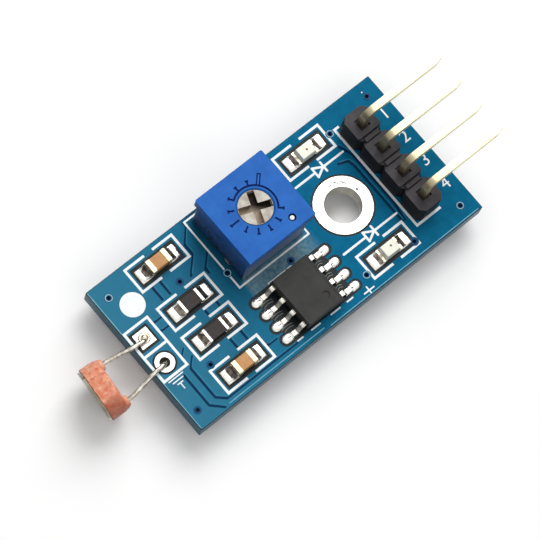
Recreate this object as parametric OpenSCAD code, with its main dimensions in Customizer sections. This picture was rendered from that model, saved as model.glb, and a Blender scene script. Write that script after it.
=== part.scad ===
// Light sensor module: a small board with a photoresistor at one end, a four-pin header at the
// other, a single-turn trimmer, an eight-lead comparator and six chip parts between them.
// The origin is on the axis of the mounting hole, at the underside of the board.
// +X points to the header, +Y to the trimmer's edge and +Z up from the component side.

/* [Board] */
// Length of the board, along X
board_l = 30.2; // [29.8:0.1:34]
// Width of the board, along Y
board_w = 14.4; // [14.2:0.1:18]
// Thickness of the laminate
board_t = 1.6; // [1:0.1:2.4]
// Mounting hole, a clearance hole for an M3 screw
hole_d = 3.2; // [2.2:0.1:3.6]
// Axis of the mounting hole to the header end of the board
hole_to_end = 9; // [8.8:0.1:9.8]
// Tinned ring round the mounting hole, outer diameter
ring_d = 5; // [4.4:0.1:5.2]
// Thickness of the tinned copper
copper_t = 0.05; // [0.03:0.01:0.1]
// Bore of a via
via_d = 0.34; // [0.2:0.02:0.4]
// Diameter of the copper ring of a via
via_ring_d = 0.66; // [0.56:0.02:0.7]

/* [White print] */
// Thickness of the print
print_t = 0.03; // [0.02:0.01:0.05]
// Line width of the print
print_line = 0.22; // [0.12:0.02:0.26]
// Diameter of the round dot
dot_d = 2.1; // [1:0.1:2.2]

/* [Header] */
// Number of pins
header_pins = 4; // [2:1:4]
// Distance between pins
header_pitch = 2.54; // [2.5:0.02:2.6]
// Pin row to the header end of the board
header_inset = 4; // [3.6:0.1:4.2]
// Pin row's middle, off the centreline
header_shift = 0.15; // [0:0.05:0.4]
// Width of the moulded block, along X
block_w = 2.45; // [2.2:0.05:2.6]
// Height of the moulded block
block_h = 2.5; // [2:0.1:3]
// Corner cut of each unit of the block
block_cut = 0.42; // [0.2:0.02:0.6]
// Side of the square pin
pin_side = 0.64; // [0.5:0.02:0.7]
// Top of the block to the middle of the bent pin
pin_rise = 2; // [1.4:0.1:4]
// Pin row to the tips of the bent pins
pin_reach = 8; // [6:0.1:10]
// Pin tail below the board
pin_tail = 1.5; // [1.4:0.1:2.4]

/* [Light sensor] */
// Diameter of the sensor's disc
sensor_d = 4.8; // [4.4:0.1:5.2]
// Height of the disc between its two flats
sensor_h = 4.2; // [3.8:0.1:4.4]
// Thickness of the coated ceramic
sensor_t = 1.6; // [1.2:0.05:1.9]
// Thickness of the clear window
window_t = 0.25; // [0.2:0.05:0.5]
// Distance between the two leads at the disc
sensor_pitch = 3.5; // [3:0.1:3.6]
// Lead holes to the end of the board
sensor_inset = 1.3; // [1.1:0.1:1.5]
// Distance between the lead holes
lead_hole_pitch = 2.54; // [2.5:0.02:2.6]
// Lead holes to the back of the disc
sensor_reach = 4.25; // [3.6:0.05:5]
// Middle of the disc's back, above the underside of the board
sensor_z = 1.12; // [1.1:0.02:1.6]
// How far the window looks down, in degrees
sensor_droop = 11; // [0:1:14]
// How far the window looks aside, in degrees
sensor_yaw = 5; // [0:1:8]
// Diameter of the leads
lead_d = 0.42; // [0.3:0.02:0.5]
// Lead tail below the board
lead_tail = 1.4; // [1.3:0.1:1.9]

/* [Trimmer] */
// Length of the top of the housing, along X
trimmer_l = 6.95; // [6.8:0.05:7.1]
// Width of the top of the housing, along Y
trimmer_w = 6.8; // [6.6:0.05:6.9]
// Height of the housing above the board
trimmer_h = 4.88; // [4.6:0.04:6]
// Side of the housing to the long edge of the board
trimmer_edge = 0.35; // [0.2:0.05:0.6]
// Middle of the trimmer to the mounting hole, along X
trimmer_x = 7.3; // [7:0.05:8]
// Rotor's round head
rotor_d = 2.92; // [2.6:0.02:3]
// Radial clearance of the rotor's head in its window
rotor_gap = 0.04; // [0.02:0.01:0.08]
// Width of the cross slot
slot_w = 0.6; // [0.4:0.01:0.7]
// Depth of the cross slot
slot_deep = 0.6; // [0.3:0.05:0.8]
// Angle of the cross slot, in degrees
slot_turn = -20.8; // [-45:0.2:45]
// Travel of the rotor from stop to stop, in degrees
rotor_travel = 260; // [240:2:270]

/* [Comparator] */
// Length of the moulded body, along Y
chip_l = 4.8; // [4.7:0.05:5]
// Width of the moulded body, along X
chip_w = 3.9; // [3.6:0.05:4]
// Thickness of the moulded body
chip_h = 1.4; // [1.3:0.05:1.75]
// Distance between leads
chip_pitch = 1.27; // [1.2:0.01:1.3]
// Width over the ends of the leads
chip_span = 6.2; // [5.8:0.05:6.4]
// Width of a lead
chip_lead_w = 0.42; // [0.3:0.02:0.5]
// Thickness of a lead
chip_lead_t = 0.2; // [0.15:0.01:0.25]
// Body to the mounting hole, along X
chip_x = 7.35; // [7:0.05:8]
// Middle of the body to the long edge of the board
chip_edge = 3.37; // [3.2:0.05:3.5]

/* [Chip resistors and capacitors] */
// Length of a chip part
part_l = 1.95; // [1.8:0.05:2.1]
// Width of a chip part
part_w = 1.25; // [1.1:0.05:1.3]
// Height of a resistor
resistor_h = 0.5; // [0.4:0.05:0.7]
// Height of a capacitor
capacitor_h = 0.95; // [0.7:0.05:1.2]
// Length of a resistor's metal ends
resistor_cap_l = 0.25; // [0.15:0.01:0.45]
// Length of a capacitor's metal ends
capacitor_cap_l = 0.4; // [0.25:0.01:0.45]
// Thickness of the metal on an end
cap_t = 0.04; // [0.02:0.01:0.06]
// Middle of the parts to the sensor end of the board
part_inset = 6.1; // [6:0.05:6.4]
// Tinned lands, length over the pair
lands_l = 4; // [3.6:0.02:4.1]
// Tinned lands, gap between the pair
lands_gap = 1.3; // [1:0.05:1.4]
// Tinned lands, width
lands_w = 1.28; // [1.1:0.02:1.4]

/* [Lamps] */
// Height of a lamp
lamp_h = 0.8; // [0.6:0.05:1.1]
// Thickness of a lamp's base
lamp_base_t = 0.3; // [0.2:0.02:0.4]
// Length of the clear lens
lens_l = 1.5; // [1.2:0.05:1.55]
// Middle of the lamps to the mounting hole, along X
lamp_x = 0.4; // [0.2:0.05:0.6]

/* [Hidden] */
$fn = 48;
eps = 0.01;

// Board datums
board_x1 = hole_to_end;
board_x0 = hole_to_end - board_l;
edge_y = board_w/2;
top = board_t;
land_z = board_t + copper_t;
barrel_t = 0.05;

// Header
header_x = board_x1 - header_inset;
header_y = [for (i = [0:header_pins - 1]) header_shift + header_pitch*((header_pins - 1)/2 - i)];
header_hole_d = 1.1;
header_ring_d = 1.75;
pin_z = top + block_h + pin_rise;
pin_bend_r = 0.7;
pin_tip_l = 0.7;
pin_tip_side = 0.3;
unit_web_w = 0.36;
unit_web_l = 1.5;
unit_groove_w = 0.62;
unit_groove_deep = 0.35;
unit_web_drop = 0.12;
pocket_side = 0.98;
pocket_deep = 0.3;
block_relief_w = 1.3;
block_relief_h = 0.2;

// Light sensor
sensor_pad_x = board_x0 + sensor_inset;
sensor_pad_y = [header_shift + lead_hole_pitch/2, header_shift - lead_hole_pitch/2];
lead_hole_d = 1;
sensor_ring_d = 1.65;
sensor_pad_side = 1.4;
sensor_back = [sensor_pad_x - sensor_reach, header_shift + 0.03, sensor_z];
sensor_edge_r = 0.5;
sensor_boss_d = 1.25;
sensor_boss_h = 0.3;
lead_pocket = 0.5;
window_rim = 0.12;
layer_t = 0.05;
track_w = 0.34;
track_d = 3.7;
track_pitch = 0.5;
track_passes = 2*round((track_d/track_pitch - 1)/2) + 1;
track_rim = 0.2;
track_link_in = 0.15;
lead_bend_r = 0.45;
lead_lift = 0.06;
lead_turn_y = [-0.26, -0.15];
lead_over_y = [-0.07, -0.2];

// Trimmer, with heights above the board
trimmer_c = [-trimmer_x, edge_y - trimmer_edge - trimmer_w/2];
lip_t = 1;
lip_out = 0.2;
foot_h = 0.2;
foot_side = 0.9;
wall_t = 0.4;
base_t = 0.6;
element_t = 0.5;
element_gap = 0.05;
track_t = 0.03;
wiper_gap = 0.03;
wiper_drop = 0.35;
wiper_t = 0.12;
wiper_r = 1.8;
flange_r = 2.42;
flange_t = 1;
flange_gap = 0.05;
seal_d = 0.46;
seal_gap = 0.03;
stop_deg = 60;
stop_spare_deg = 2;
stop_clear = 0.07;
stop_wall = 0.3;
dead_zone_deg = 2;
head_drop = 0.08;
window_bevel = 0.12;
low_l = trimmer_l - 2*lip_out;
low_w = trimmer_w - 2*lip_out;
base_z = top + foot_h;
element_z = base_z + base_t;
wiper_z = element_z + element_t + track_t + wiper_gap;
flange_z = wiper_z + wiper_drop + wiper_t;
room_z = flange_z + flange_t + flange_gap;
room_r = flange_r + stop_wall;
seal_r = rotor_d/2 + seal_gap + seal_d/2;
seal_room_r = seal_r + seal_d/2 + seal_gap;
seal_room_z = room_z + seal_d + seal_gap;
trimmer_top = top + trimmer_h;
head_z = trimmer_top - head_drop;
slot_l = rotor_d - 0.1;
terminal_d = 0.5;
terminal_tail = 1.2;
terminal_inset = 0.335;
terminal_row_y = 1.27;
terminal_out = low_l/2 - wall_t - terminal_inset;
terminal_at = [[terminal_out, -terminal_row_y], [0, terminal_row_y], [-terminal_out, -terminal_row_y]];
terminal_hole_d = 0.9;
terminal_ring_d = 1.6;
pointer_deg = 44.5;
dial_start_deg = 69;
dial_step_deg = 27.9;
dial_marks = 10;
long_mark = 4;
dial_deep = 0.08;
mark_in = rotor_d/2 + 0.28;
mark_l = 0.58;
mark_w = 0.15;
mark_head_w = 0.28;
long_mark_l = 0.9;
pointer_l = 1.12;
pointer_w = 0.34;
pointer_line = 0.1;
arc_w = 0.17;
arc_marks = 2;
index_at = [1.76, -2.45];
index_d = 0.66;
index_deep = 0.3;

// Comparator
chip_c = [-chip_x, -edge_y + chip_edge];
chip_z = land_z + 0.1;
chip_waist = 0.8;
chip_draft = 0.1;
chip_bevel = 0.35;
chip_root = 0.4;
chip_leads = 8;
chip_shoulder = 0.32;
chip_foot = 0.55;
chip_bend = 0.14;
chip_land_w = 0.78;
chip_land_in = chip_span/2 - 0.6;
chip_land_out = chip_span/2 + 0.98;
dimple_d = 0.66;
dimple_deep = 0.08;
dimple_at = [0.8, -1.25];

// Chip parts and lamps
part_x = board_x0 + part_inset;
capacitor_y = [edge_y - 1.7, -edge_y + 2.08];
resistor_y = [1.43, -1.62];
part_round = 0.1;
resistor_round = 0.04;
lamp_y = [edge_y - 1.87, -edge_y + 2];
lamp_l = 2;
lamp_w = 1.2;
lens_draft = 0.08;
die_side = 0.28;
die_t = 0.15;
lamp_notch_r = 0.17;
lamp_cap_l = 0.22;

// White print
bracket_l = 5.1;
bracket_w = 2.5;
bracket_gap = 0.85;
bracket_shift = 0.06;
trimmer_print = [0.29, 0.16];
trimmer_print_off = [-0.19, -0.07];
trimmer_print_line = 0.16;
chip_print_out = 0.15;
chip_print_line = 0.13;
chip_print_low = [[-2.75, 0.65], [-1.1, 1], [1, 1.05], [2.55, 0.7]];
chip_print_high = [[-0.9, 1.9], [0.55, 0.7]];
sensor_print_l = 2.6;
dot_at = [board_x0 + 2.35, edge_y - 3.07];

// Solder
fillet_steps = 5;
land_margin = 0.06;
fillet_foot = 0.02;
capacitor_wet_h = 0.55;
resistor_wet_h = 0.36;
chip_wet_l = 0.6;
cone_h = 0.85;
cone_steps = 5;
corner_via = 1.3;
via_off_corner = [[-0.1, -0.18], [-0.47, 0.17], [0, 0], [-0.12, -0.05]];
via_off_part = [[0.45, -0.2], [-2.06, -0.15]];
via_off_trimmer = [-0.1, -2];
via_off_lamp = [[2.75, -0.03], [-2.78, -0.45], [2.18, -0.72]];
via_off_chip = [0.9, 0.5];
via_at = [
    [board_x0 + corner_via, edge_y - corner_via] + via_off_corner[0],
    [board_x0 + corner_via, -edge_y + corner_via] + via_off_corner[1],
    [board_x1 - corner_via, edge_y - corner_via] + via_off_corner[2],
    [board_x1 - corner_via, -edge_y + corner_via] + via_off_corner[3],
    [part_x, (capacitor_y[0] + resistor_y[0])/2] + via_off_part[0],
    [part_x, (capacitor_y[1] + resistor_y[1])/2] + via_off_part[1],
    [trimmer_c[0] - trimmer_l/2 - trimmer_print[0], trimmer_c[1]] + via_off_trimmer,
    [lamp_x, lamp_y[0]] + via_off_lamp[0],
    [lamp_x, lamp_y[1]] + via_off_lamp[1],
    [lamp_x, lamp_y[1]] + via_off_lamp[2],
    [chip_c[0], chip_c[1] + chip_l/2] + via_off_chip,
];

// Geometry helpers

function unit(v) = v/norm(v);
function mix(a, b, t) = a + (b - a)*t;

// A path with each inner corner replaced by a short curve that starts r before it
function rounded(path, r, steps = 4) = [
    for (i = [0:len(path) - 1])
        each (i == 0 || i == len(path) - 1) ? [path[i]] :
            let (a = path[i] + unit(path[i - 1] - path[i])*r,
                 b = path[i] + unit(path[i + 1] - path[i])*r)
            [for (s = [0:steps]) let (t = s/steps) mix(mix(a, path[i], t), mix(path[i], b, t), t)]
];

function tangent(path, i) = unit(path[min(i + 1, len(path) - 1)] - path[max(i - 1, 0)]);

// The outline of a strip of thickness t along a flat path
function strip(path, t) = [
    for (i = [0:len(path) - 1]) let (d = tangent(path, i)) path[i] + [-d[1], d[0]]*t/2,
    for (i = [len(path) - 1:-1:0]) let (d = tangent(path, i)) path[i] - [-d[1], d[0]]*t/2
];

// A round wire swept along a path that never runs along Y
module wire(path, d, sides = 14) {
    last = len(path) - 1;
    points = [
        for (i = [0:last])
            let (t = tangent(path, i), u = unit(cross([0, 1, 0], t)), v = cross(t, u))
            for (k = [0:sides - 1]) path[i] + (u*cos(360*k/sides) + v*sin(360*k/sides))*d/2
    ];
    walls = [
        for (i = [0:last - 1]) for (k = [0:sides - 1])
            [i*sides + k, (i + 1)*sides + k, (i + 1)*sides + (k + 1) % sides, i*sides + (k + 1) % sides]
    ];
    start = [for (k = [0:sides - 1]) k];
    end = [for (k = [sides - 1:-1:0]) last*sides + k];
    polyhedron(points, concat([start], walls, [end]));
}

// A rectangle with true round corners, centred
module round_rect(l, w, r) {
    square([l - 2*r, w], center = true);
    square([l, w - 2*r], center = true);
    for (x = [-1, 1]) for (y = [-1, 1]) translate([x*(l/2 - r), y*(w/2 - r)]) circle(r, $fn = 16);
}

// A block whose four sides lean in by draft, from a size at its foot
module leaning_block(l, w, h, draft) {
    intersection() {
        translate([0, w, 0]) rotate([90, 0, 0]) linear_extrude(2*w)
            polygon([[-l/2, 0], [l/2, 0], [l/2 - draft, h], [-l/2 + draft, h]]);
        translate([-l, 0, 0]) rotate([90, 0, 90]) linear_extrude(2*l)
            polygon([[-w/2, 0], [w/2, 0], [w/2 - draft, h], [-w/2 + draft, h]]);
    }
}

// A rectangular line, centred
module frame_line(l, w, line) {
    difference() {
        square([l, w], center = true);
        square([l - 2*line, w - 2*line], center = true);
    }
}

// A sector of a ring from angle a to angle b
module ring_sector(r0, r1, a, b) {
    steps = ceil((b - a)/6);
    polygon([
        for (i = [0:steps]) let (t = mix(a, b, i/steps)) r1*[cos(t), sin(t)],
        for (i = [steps:-1:0]) let (t = mix(a, b, i/steps)) r0*[cos(t), sin(t)]
    ]);
}

// The places where something passes through the board: [x, y, hole, ring]
function through_holes() = concat(
    [for (y = header_y) [header_x, y, header_hole_d, header_ring_d]],
    [for (y = sensor_pad_y) [sensor_pad_x, y, lead_hole_d, sensor_ring_d]],
    [for (p = terminal_at) [trimmer_c[0] + p[0], trimmer_c[1] + p[1], terminal_hole_d, terminal_ring_d]]
);

// Board and what is plated or printed on it

module circuit_board() {
    color("#14698f") difference() {
        translate([board_x0, -edge_y, 0]) cube([board_l, board_w, board_t]);
        translate([0, 0, -eps]) cylinder(h = board_t + 2*eps, d = hole_d, $fn = 64);
        for (h = through_holes())
            translate([h[0], h[1], -eps]) cylinder(h = board_t + 2*eps, d = h[2], $fn = 24);
        for (p = via_at)
            translate([p[0], p[1], -eps]) cylinder(h = board_t + 2*eps, d = via_d + 2*barrel_t, $fn = 14);
    }
}

// A tinned ring round the mounting hole, flush with the wall of the hole
module mounting_ring() {
    color("#e9e6de") difference() {
        cylinder(h = copper_t, d = ring_d, $fn = 64);
        translate([0, 0, -eps]) cylinder(h = copper_t + 2*eps, d = hole_d, $fn = 64);
    }
}

module mounting_ring_top() translate([0, 0, top]) mounting_ring();

module mounting_ring_bottom() translate([0, 0, -copper_t]) mounting_ring();

// A plated hole: a barrel with a flange on each face of the board
module eyelet(hole, ring, square_pad = 0) {
    $fn = 14;
    difference() {
        union() {
            cylinder(h = board_t, d = hole);
            for (z = [-copper_t, board_t]) translate([0, 0, z])
                if (square_pad > 0) linear_extrude(copper_t) square(square_pad, center = true);
                else cylinder(h = copper_t, d = ring);
        }
        translate([0, 0, -copper_t - eps])
            cylinder(h = board_t + 2*copper_t + 2*eps, d = hole - 2*barrel_t);
    }
}

module hole_eyelets() {
    holes = through_holes();
    color("#e2ddd0") for (i = [0:len(holes) - 1])
        translate([holes[i][0], holes[i][1], 0])
            eyelet(holes[i][2], holes[i][3], i == header_pins ? sensor_pad_side : 0);
}

module via_eyelets() {
    color("#2a7a9c") for (p = via_at)
        translate([p[0], p[1], 0]) eyelet(via_d + 2*barrel_t, via_ring_d);
}

// The centres of all chip parts and lamps
function small_parts() = [
    [part_x, capacitor_y[0]], [part_x, resistor_y[0]], [part_x, resistor_y[1]], [part_x, capacitor_y[1]],
    [lamp_x, lamp_y[0]], [lamp_x, lamp_y[1]]
];

module land_pair() {
    for (side = [-1, 1]) translate([side*(lands_l + lands_gap)/4, 0])
        square([(lands_l - lands_gap)/2, lands_w], center = true);
}

// Narrow under the lead's foot, with a wide round end beyond its toe
module chip_land() {
    r = chip_land_w/2;
    from = chip_span/2 + r - 2*land_margin;
    to = chip_land_out - r;
    translate([chip_land_in, -chip_lead_w/2 - land_margin])
        square([to - chip_land_in, chip_lead_w + 2*land_margin]);
    translate([from, -r]) square([to - from, 2*r]);
    for (x = [from, to]) translate([x, 0]) circle(r, $fn = 24);
}

// Puts its children at comparator lead i, counted round the body from the corner by the dimple
module at_chip_lead(i) {
    right = i <= chip_leads/2;
    row = right ? i - 1 : chip_leads - i;
    translate([chip_c[0], chip_c[1] + chip_pitch*(row - (chip_leads/2 - 1)/2), 0])
        rotate([0, 0, right ? 0 : 180]) children();
}

module tinned_lands() {
    color("#ece8df") {
        for (p = small_parts())
            translate([p[0], p[1], top]) linear_extrude(copper_t) land_pair();
        for (i = [1:chip_leads])
            at_chip_lead(i) translate([0, 0, top]) linear_extrude(copper_t) chip_land();
    }
}

// A component outline with a gap in the middle of each long side
module bracket() {
    difference() {
        frame_line(bracket_l, bracket_w, print_line);
        square([bracket_gap, bracket_w + 1], center = true);
    }
}

module sensor_print() {
    span = 2*lead_hole_pitch + print_line/2;
    translate([board_x0 + print_line/2 + sensor_print_l/2, header_shift]) {
        frame_line(sensor_print_l, span, print_line);
        square([sensor_print_l - print_line, print_line], center = true);
    }
}

module header_print() {
    span = header_pins*header_pitch;
    line_x = header_x - block_w/2 - print_line;
    translate([line_x, header_shift - span/2 - print_line]) {
        square([print_line, span + 2*print_line]);
        square([block_w + print_line, print_line]);
        translate([0, span + print_line]) square([0.6, print_line]);
    }
}

module white_print() {
    color("#eef5f7") translate([0, 0, top]) linear_extrude(print_t) difference() {
        union() {
            for (p = small_parts()) translate([p[0], p[1] + bracket_shift]) bracket();
            sensor_print();
            header_print();
            translate([trimmer_c[0], trimmer_c[1]] + trimmer_print_off)
                frame_line(trimmer_l + 2*trimmer_print[0], trimmer_w + 2*trimmer_print[1],
                           trimmer_print_line);
            for (side = [-1, 1]) for (dash = side < 0 ? chip_print_low : chip_print_high)
                translate([chip_c[0] + dash[0], chip_c[1] + side*(chip_l/2 + chip_print_out)])
                    square([dash[1], chip_print_line], center = true);
            translate(dot_at) circle(d = dot_d, $fn = 64);
        }
        for (p = via_at) translate(p) circle(d = via_ring_d + 0.1, $fn = 24);
    }
}

// Solder

// A concave fillet that climbs the end face at x = 0 to height h and runs out to x = l
module fillet(l, h, w) {
    translate([0, w/2, 0]) rotate([90, 0, 0]) linear_extrude(w) polygon(concat([[0, 0]],
        [for (i = [0:fillet_steps]) let (t = i/fillet_steps) [l*(1 - t), h*t*t + fillet_foot]]));
}

module solder_fillets() {
    run = (lands_l - part_l)/2 - land_margin;
    lamp_run = (lands_l - lamp_l)/2 - land_margin;
    color("#dcd8cf") {
        for (p = small_parts()) for (side = [0, 180]) {
            lamp = p[0] == lamp_x;
            rise = lamp ? lamp_base_t : (p[1] == capacitor_y[0] || p[1] == capacitor_y[1]) ? capacitor_wet_h
                 : resistor_wet_h;
            translate([p[0], p[1], land_z]) rotate([0, 0, side])
                translate([(lamp ? lamp_l : part_l)/2, 0, 0])
                    fillet(lamp ? lamp_run : run, rise, (lamp ? lamp_w : part_w) - land_margin);
        }
        for (i = [1:chip_leads]) at_chip_lead(i)
            translate([chip_span/2, 0, land_z])
                fillet(chip_wet_l, chip_lead_t*0.8, chip_lead_w + 2*land_margin);
    }
}

// Solder round a pin: a plug in the barrel up to a height and a hollow-sided cone under the board
module solder_joint(hole, ring, fill) {
    bore = hole/2 - barrel_t;
    foot = ring/2 - 0.05;
    tip = bore - 0.02;
    rotate_extrude($fn = 20) polygon(concat(
        [[0, fill], [0, -copper_t - cone_h]],
        [for (i = [0:cone_steps]) let (t = i/cone_steps)
            [tip + (foot - tip)*t*t, -copper_t - cone_h*(1 - t)]],
        [[bore, -copper_t], [bore, fill]]));
}

module solder_joints() {
    color("#cfcdc8") {
        for (y = header_y) translate([header_x, y, 0]) difference() {
            solder_joint(header_hole_d, header_ring_d, board_t);
            cube([pin_side, pin_side, 4*board_t], center = true);
        }
        for (y = sensor_pad_y) translate([sensor_pad_x, y, 0]) difference() {
            solder_joint(lead_hole_d, sensor_ring_d, board_t*0.25);
            cylinder(h = 4*board_t, d = lead_d, center = true);
        }
        for (p = terminal_at) translate([trimmer_c[0] + p[0], trimmer_c[1] + p[1], 0]) difference() {
            solder_joint(terminal_hole_d, terminal_ring_d, board_t*0.8);
            cylinder(h = 4*board_t, d = terminal_d, center = true);
        }
    }
}

// Light sensor: its own frame has X up the disc, Y across it and Z out of the window

module at_sensor() {
    translate(sensor_back) rotate([0, 0, -sensor_yaw]) rotate([0, -90 - sensor_droop, 0]) children();
}

function sensor_out() = [-cos(sensor_droop)*cos(sensor_yaw), cos(sensor_droop)*sin(sensor_yaw),
                         -sin(sensor_droop)];
function sensor_root(side) = sensor_back
    + side*sensor_pitch/2*[sin(sensor_yaw), cos(sensor_yaw), 0];

// The disc's outline, cut flat above and below
module disc_shape(rim) {
    intersection() {
        circle(d = sensor_d - 2*rim, $fn = 72);
        square([sensor_h - 2*rim, sensor_d], center = true);
    }
}

module sensor_body() {
    r = sensor_d/2;
    e = sensor_edge_r;
    color("#e07f62") at_sensor() difference() {
        union() {
            intersection() {
                rotate_extrude($fn = 72) {
                    square([r - e, sensor_t]);
                    translate([0, e]) square([r, sensor_t - e]);
                    translate([r - e, e]) circle(e, $fn = 24);
                }
                translate([0, 0, sensor_t/2]) cube([sensor_h, 2*sensor_d, 2*sensor_t], center = true);
            }
            intersection() {
                for (side = [-1, 1]) translate([0, side*sensor_pitch/2, -sensor_boss_h])
                    cylinder(h = 2*sensor_boss_h + e, d1 = sensor_boss_d*0.7, d2 = sensor_boss_d*1.5);
                translate([0, 0, -sensor_boss_h]) linear_extrude(2*sensor_boss_h + e) disc_shape(0.08);
            }
        }
        for (side = [-1, 1]) translate([0, side*sensor_pitch/2, -sensor_boss_h - eps])
            cylinder(h = sensor_boss_h + lead_pocket + eps, d = lead_d, $fn = 32);
    }
}

// The sensing layer winds to and fro across the face in one line, and its two ends run out to
// the rim, so that it parts the metal round it into two combs
module track_shape() {
    step = track_d/track_passes;
    for (i = [0:track_passes - 1]) {
        x = step*(i - (track_passes - 1)/2);
        half = sqrt(pow(track_d/2 + track_rim, 2) - x*x) - track_link_in;
        translate([x, 0]) square([track_w, 2*half], center = true);
    }
    for (side = [-1, 1])
        translate([side*step*(track_passes - 1)/2 - track_w/2, side > 0 ? 0 : -sensor_d/2])
            square([track_w, sensor_d/2]);
    for (i = [0:track_passes - 2]) {
        x = step*(i - (track_passes - 1)/2);
        side = i % 2 == 0 ? 1 : -1;
        far = max(abs(x), abs(x + step));
        half = sqrt(pow(track_d/2 + track_rim, 2) - far*far) - track_link_in;
        translate([x - track_w/2, side > 0 ? half - track_w : -half]) square([step + track_w, track_w]);
    }
}

module layer_area() disc_shape(0.3);

module sensor_track() {
    color("#b4562f") at_sensor() translate([0, 0, sensor_t])
        linear_extrude(layer_t) intersection() { layer_area(); track_shape(); }
}

module sensor_electrodes() {
    color("#c9c8c2") at_sensor() translate([0, 0, sensor_t])
        linear_extrude(layer_t) difference() { layer_area(); track_shape(); }
}

module sensor_window() {
    color("#a8b09c", 0.6) at_sensor() translate([0, 0, sensor_t]) difference() {
        linear_extrude(window_t) disc_shape(window_rim);
        translate([0, 0, -eps]) linear_extrude(layer_t + eps) layer_area();
    }
}

// A lead: up through its hole, over the edge of the board and into the back of the disc
module sensor_lead(i) {
    side = i == 1 ? 1 : -1;
    foot = [sensor_pad_x, sensor_pad_y[i - 1], 0];
    root = sensor_root(side);
    out = sensor_out();
    run_z = land_z + lead_lift + lead_d/2;
    turn = [foot[0] - 0.1, foot[1] + lead_turn_y[i - 1], run_z];
    over = [board_x0 - 0.05, foot[1] + lead_over_y[i - 1], run_z];
    back = root - out*(sensor_boss_h + 0.45);
    color("#cfc8bb") wire(rounded(
        [[foot[0], foot[1], -lead_tail], [foot[0], foot[1], 0.75*top], turn, over, back,
         root + out*lead_pocket], lead_bend_r, 5), lead_d);
}

// Trimmer

module at_trimmer() translate([trimmer_c[0], trimmer_c[1], 0]) children();

// The sunk dial: marks with a wide outer end, an outlined pointer and the arc that joins the last
// mark to the first ones through the pointer's foot
module dial_cuts() {
    translate([0, 0, trimmer_top - dial_deep]) linear_extrude(1) {
        for (k = [0:dial_marks - 1]) rotate(dial_start_deg + k*dial_step_deg) translate([mark_in, 0]) {
            l = k == long_mark ? long_mark_l : mark_l;
            translate([0, -mark_w/2]) square([l, mark_w]);
            translate([l - mark_w, -mark_head_w/2]) square([mark_w, mark_head_w]);
        }
        rotate(pointer_deg) translate([mark_in, -pointer_w/2]) difference() {
            square([pointer_l, pointer_w]);
            translate([-1, pointer_line])
                square([pointer_l - pointer_line + 1, pointer_w - 2*pointer_line]);
        }
        ring_sector(mark_in, mark_in + arc_w, dial_start_deg + (dial_marks - 1)*dial_step_deg - 360,
                    dial_start_deg + arc_marks*dial_step_deg);
    }
    translate([index_at[0], index_at[1], trimmer_top - index_deep]) cylinder(h = 1, d = index_d, $fn = 24);
}

module trimmer_housing() {
    neck_room = rotor_d/2 + rotor_gap;
    color("#3a6fc6") at_trimmer() difference() {
        union() {
            translate([0, 0, trimmer_top - lip_t]) linear_extrude(lip_t)
                round_rect(trimmer_l, trimmer_w, 0.15);
            translate([0, 0, base_z]) linear_extrude(trimmer_h - foot_h - lip_t)
                round_rect(low_l, low_w, 0.25);
            for (x = [-1, 1]) for (y = [-1, 1])
                translate([x*(low_l - foot_side)/2, y*(low_w - foot_side)/2, top])
                    linear_extrude(foot_h) round_rect(foot_side, foot_side, 0.25);
        }
        translate([0, 0, base_z - eps]) linear_extrude(base_t + element_t + eps)
            square([low_l - 2*wall_t, low_w - 2*wall_t], center = true);
        translate([0, 0, top - eps]) linear_extrude(foot_h + 2*eps)
            square([low_l - 2*wall_t, low_w - 2*wall_t], center = true);
        difference() {
            translate([0, 0, element_z + element_t - eps])
                cylinder(h = room_z - element_z - element_t + eps, r = room_r, $fn = 72);
            translate([0, 0, flange_z]) linear_extrude(room_z)
                ring_sector(flange_r + stop_clear, room_r + 1, dead_zone_deg - stop_deg/2,
                            dead_zone_deg + stop_deg/2);
        }
        translate([0, 0, room_z - eps]) cylinder(h = seal_room_z - room_z + eps, r = seal_room_r, $fn = 72);
        translate([0, 0, room_z]) cylinder(h = trimmer_h, r = neck_room, $fn = 72);
        translate([0, 0, trimmer_top - window_bevel])
            cylinder(h = 2*window_bevel, r1 = neck_room, r2 = neck_room + 2*window_bevel, $fn = 72);
        dial_cuts();
    }
}

module trimmer_rotor() {
    lug_deg = 360 - stop_deg - rotor_travel - 2*stop_spare_deg;
    color("#cfc7b4") at_trimmer() difference() {
        union() {
            translate([0, 0, flange_z]) cylinder(h = flange_t, r = flange_r, $fn = 72);
            translate([0, 0, flange_z]) cylinder(h = head_z - flange_z, d = rotor_d, $fn = 72);
            translate([0, 0, flange_z]) linear_extrude(flange_t)
                ring_sector(flange_r - 0.5, room_r - stop_clear, dead_zone_deg + 180 - lug_deg/2,
                            dead_zone_deg + 180 + lug_deg/2);
        }
        for (a = [0, 90]) rotate([0, 0, slot_turn + a]) translate([-slot_l/2, -slot_w/2, head_z - slot_deep])
            cube([slot_l, slot_w, 1]);
    }
}

module trimmer_seal() {
    color("#2b2b2b") at_trimmer() translate([0, 0, flange_z + flange_t + seal_d/2])
        rotate_extrude($fn = 48) translate([seal_r, 0]) circle(d = seal_d, $fn = 16);
}

// A spring washer with one contact foot that runs on the resistive track
module trimmer_wiper() {
    color("#d8b35a") at_trimmer() {
        translate([0, 0, flange_z - wiper_t]) linear_extrude(wiper_t) difference() {
            circle(wiper_r + 0.25, $fn = 48);
            circle(0.6, $fn = 32);
        }
        rotate([0, 0, dead_zone_deg + 180]) translate([wiper_r, 0, wiper_z])
            cylinder(h = flange_z - wiper_t - wiper_z, d1 = 0.25, d2 = 0.45, $fn = 24);
    }
}

module terminal_cuts() {
    for (p = terminal_at) translate([p[0], p[1], 0])
        cylinder(h = element_z + element_t - 0.1, d = terminal_d, $fn = 24);
}

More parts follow.
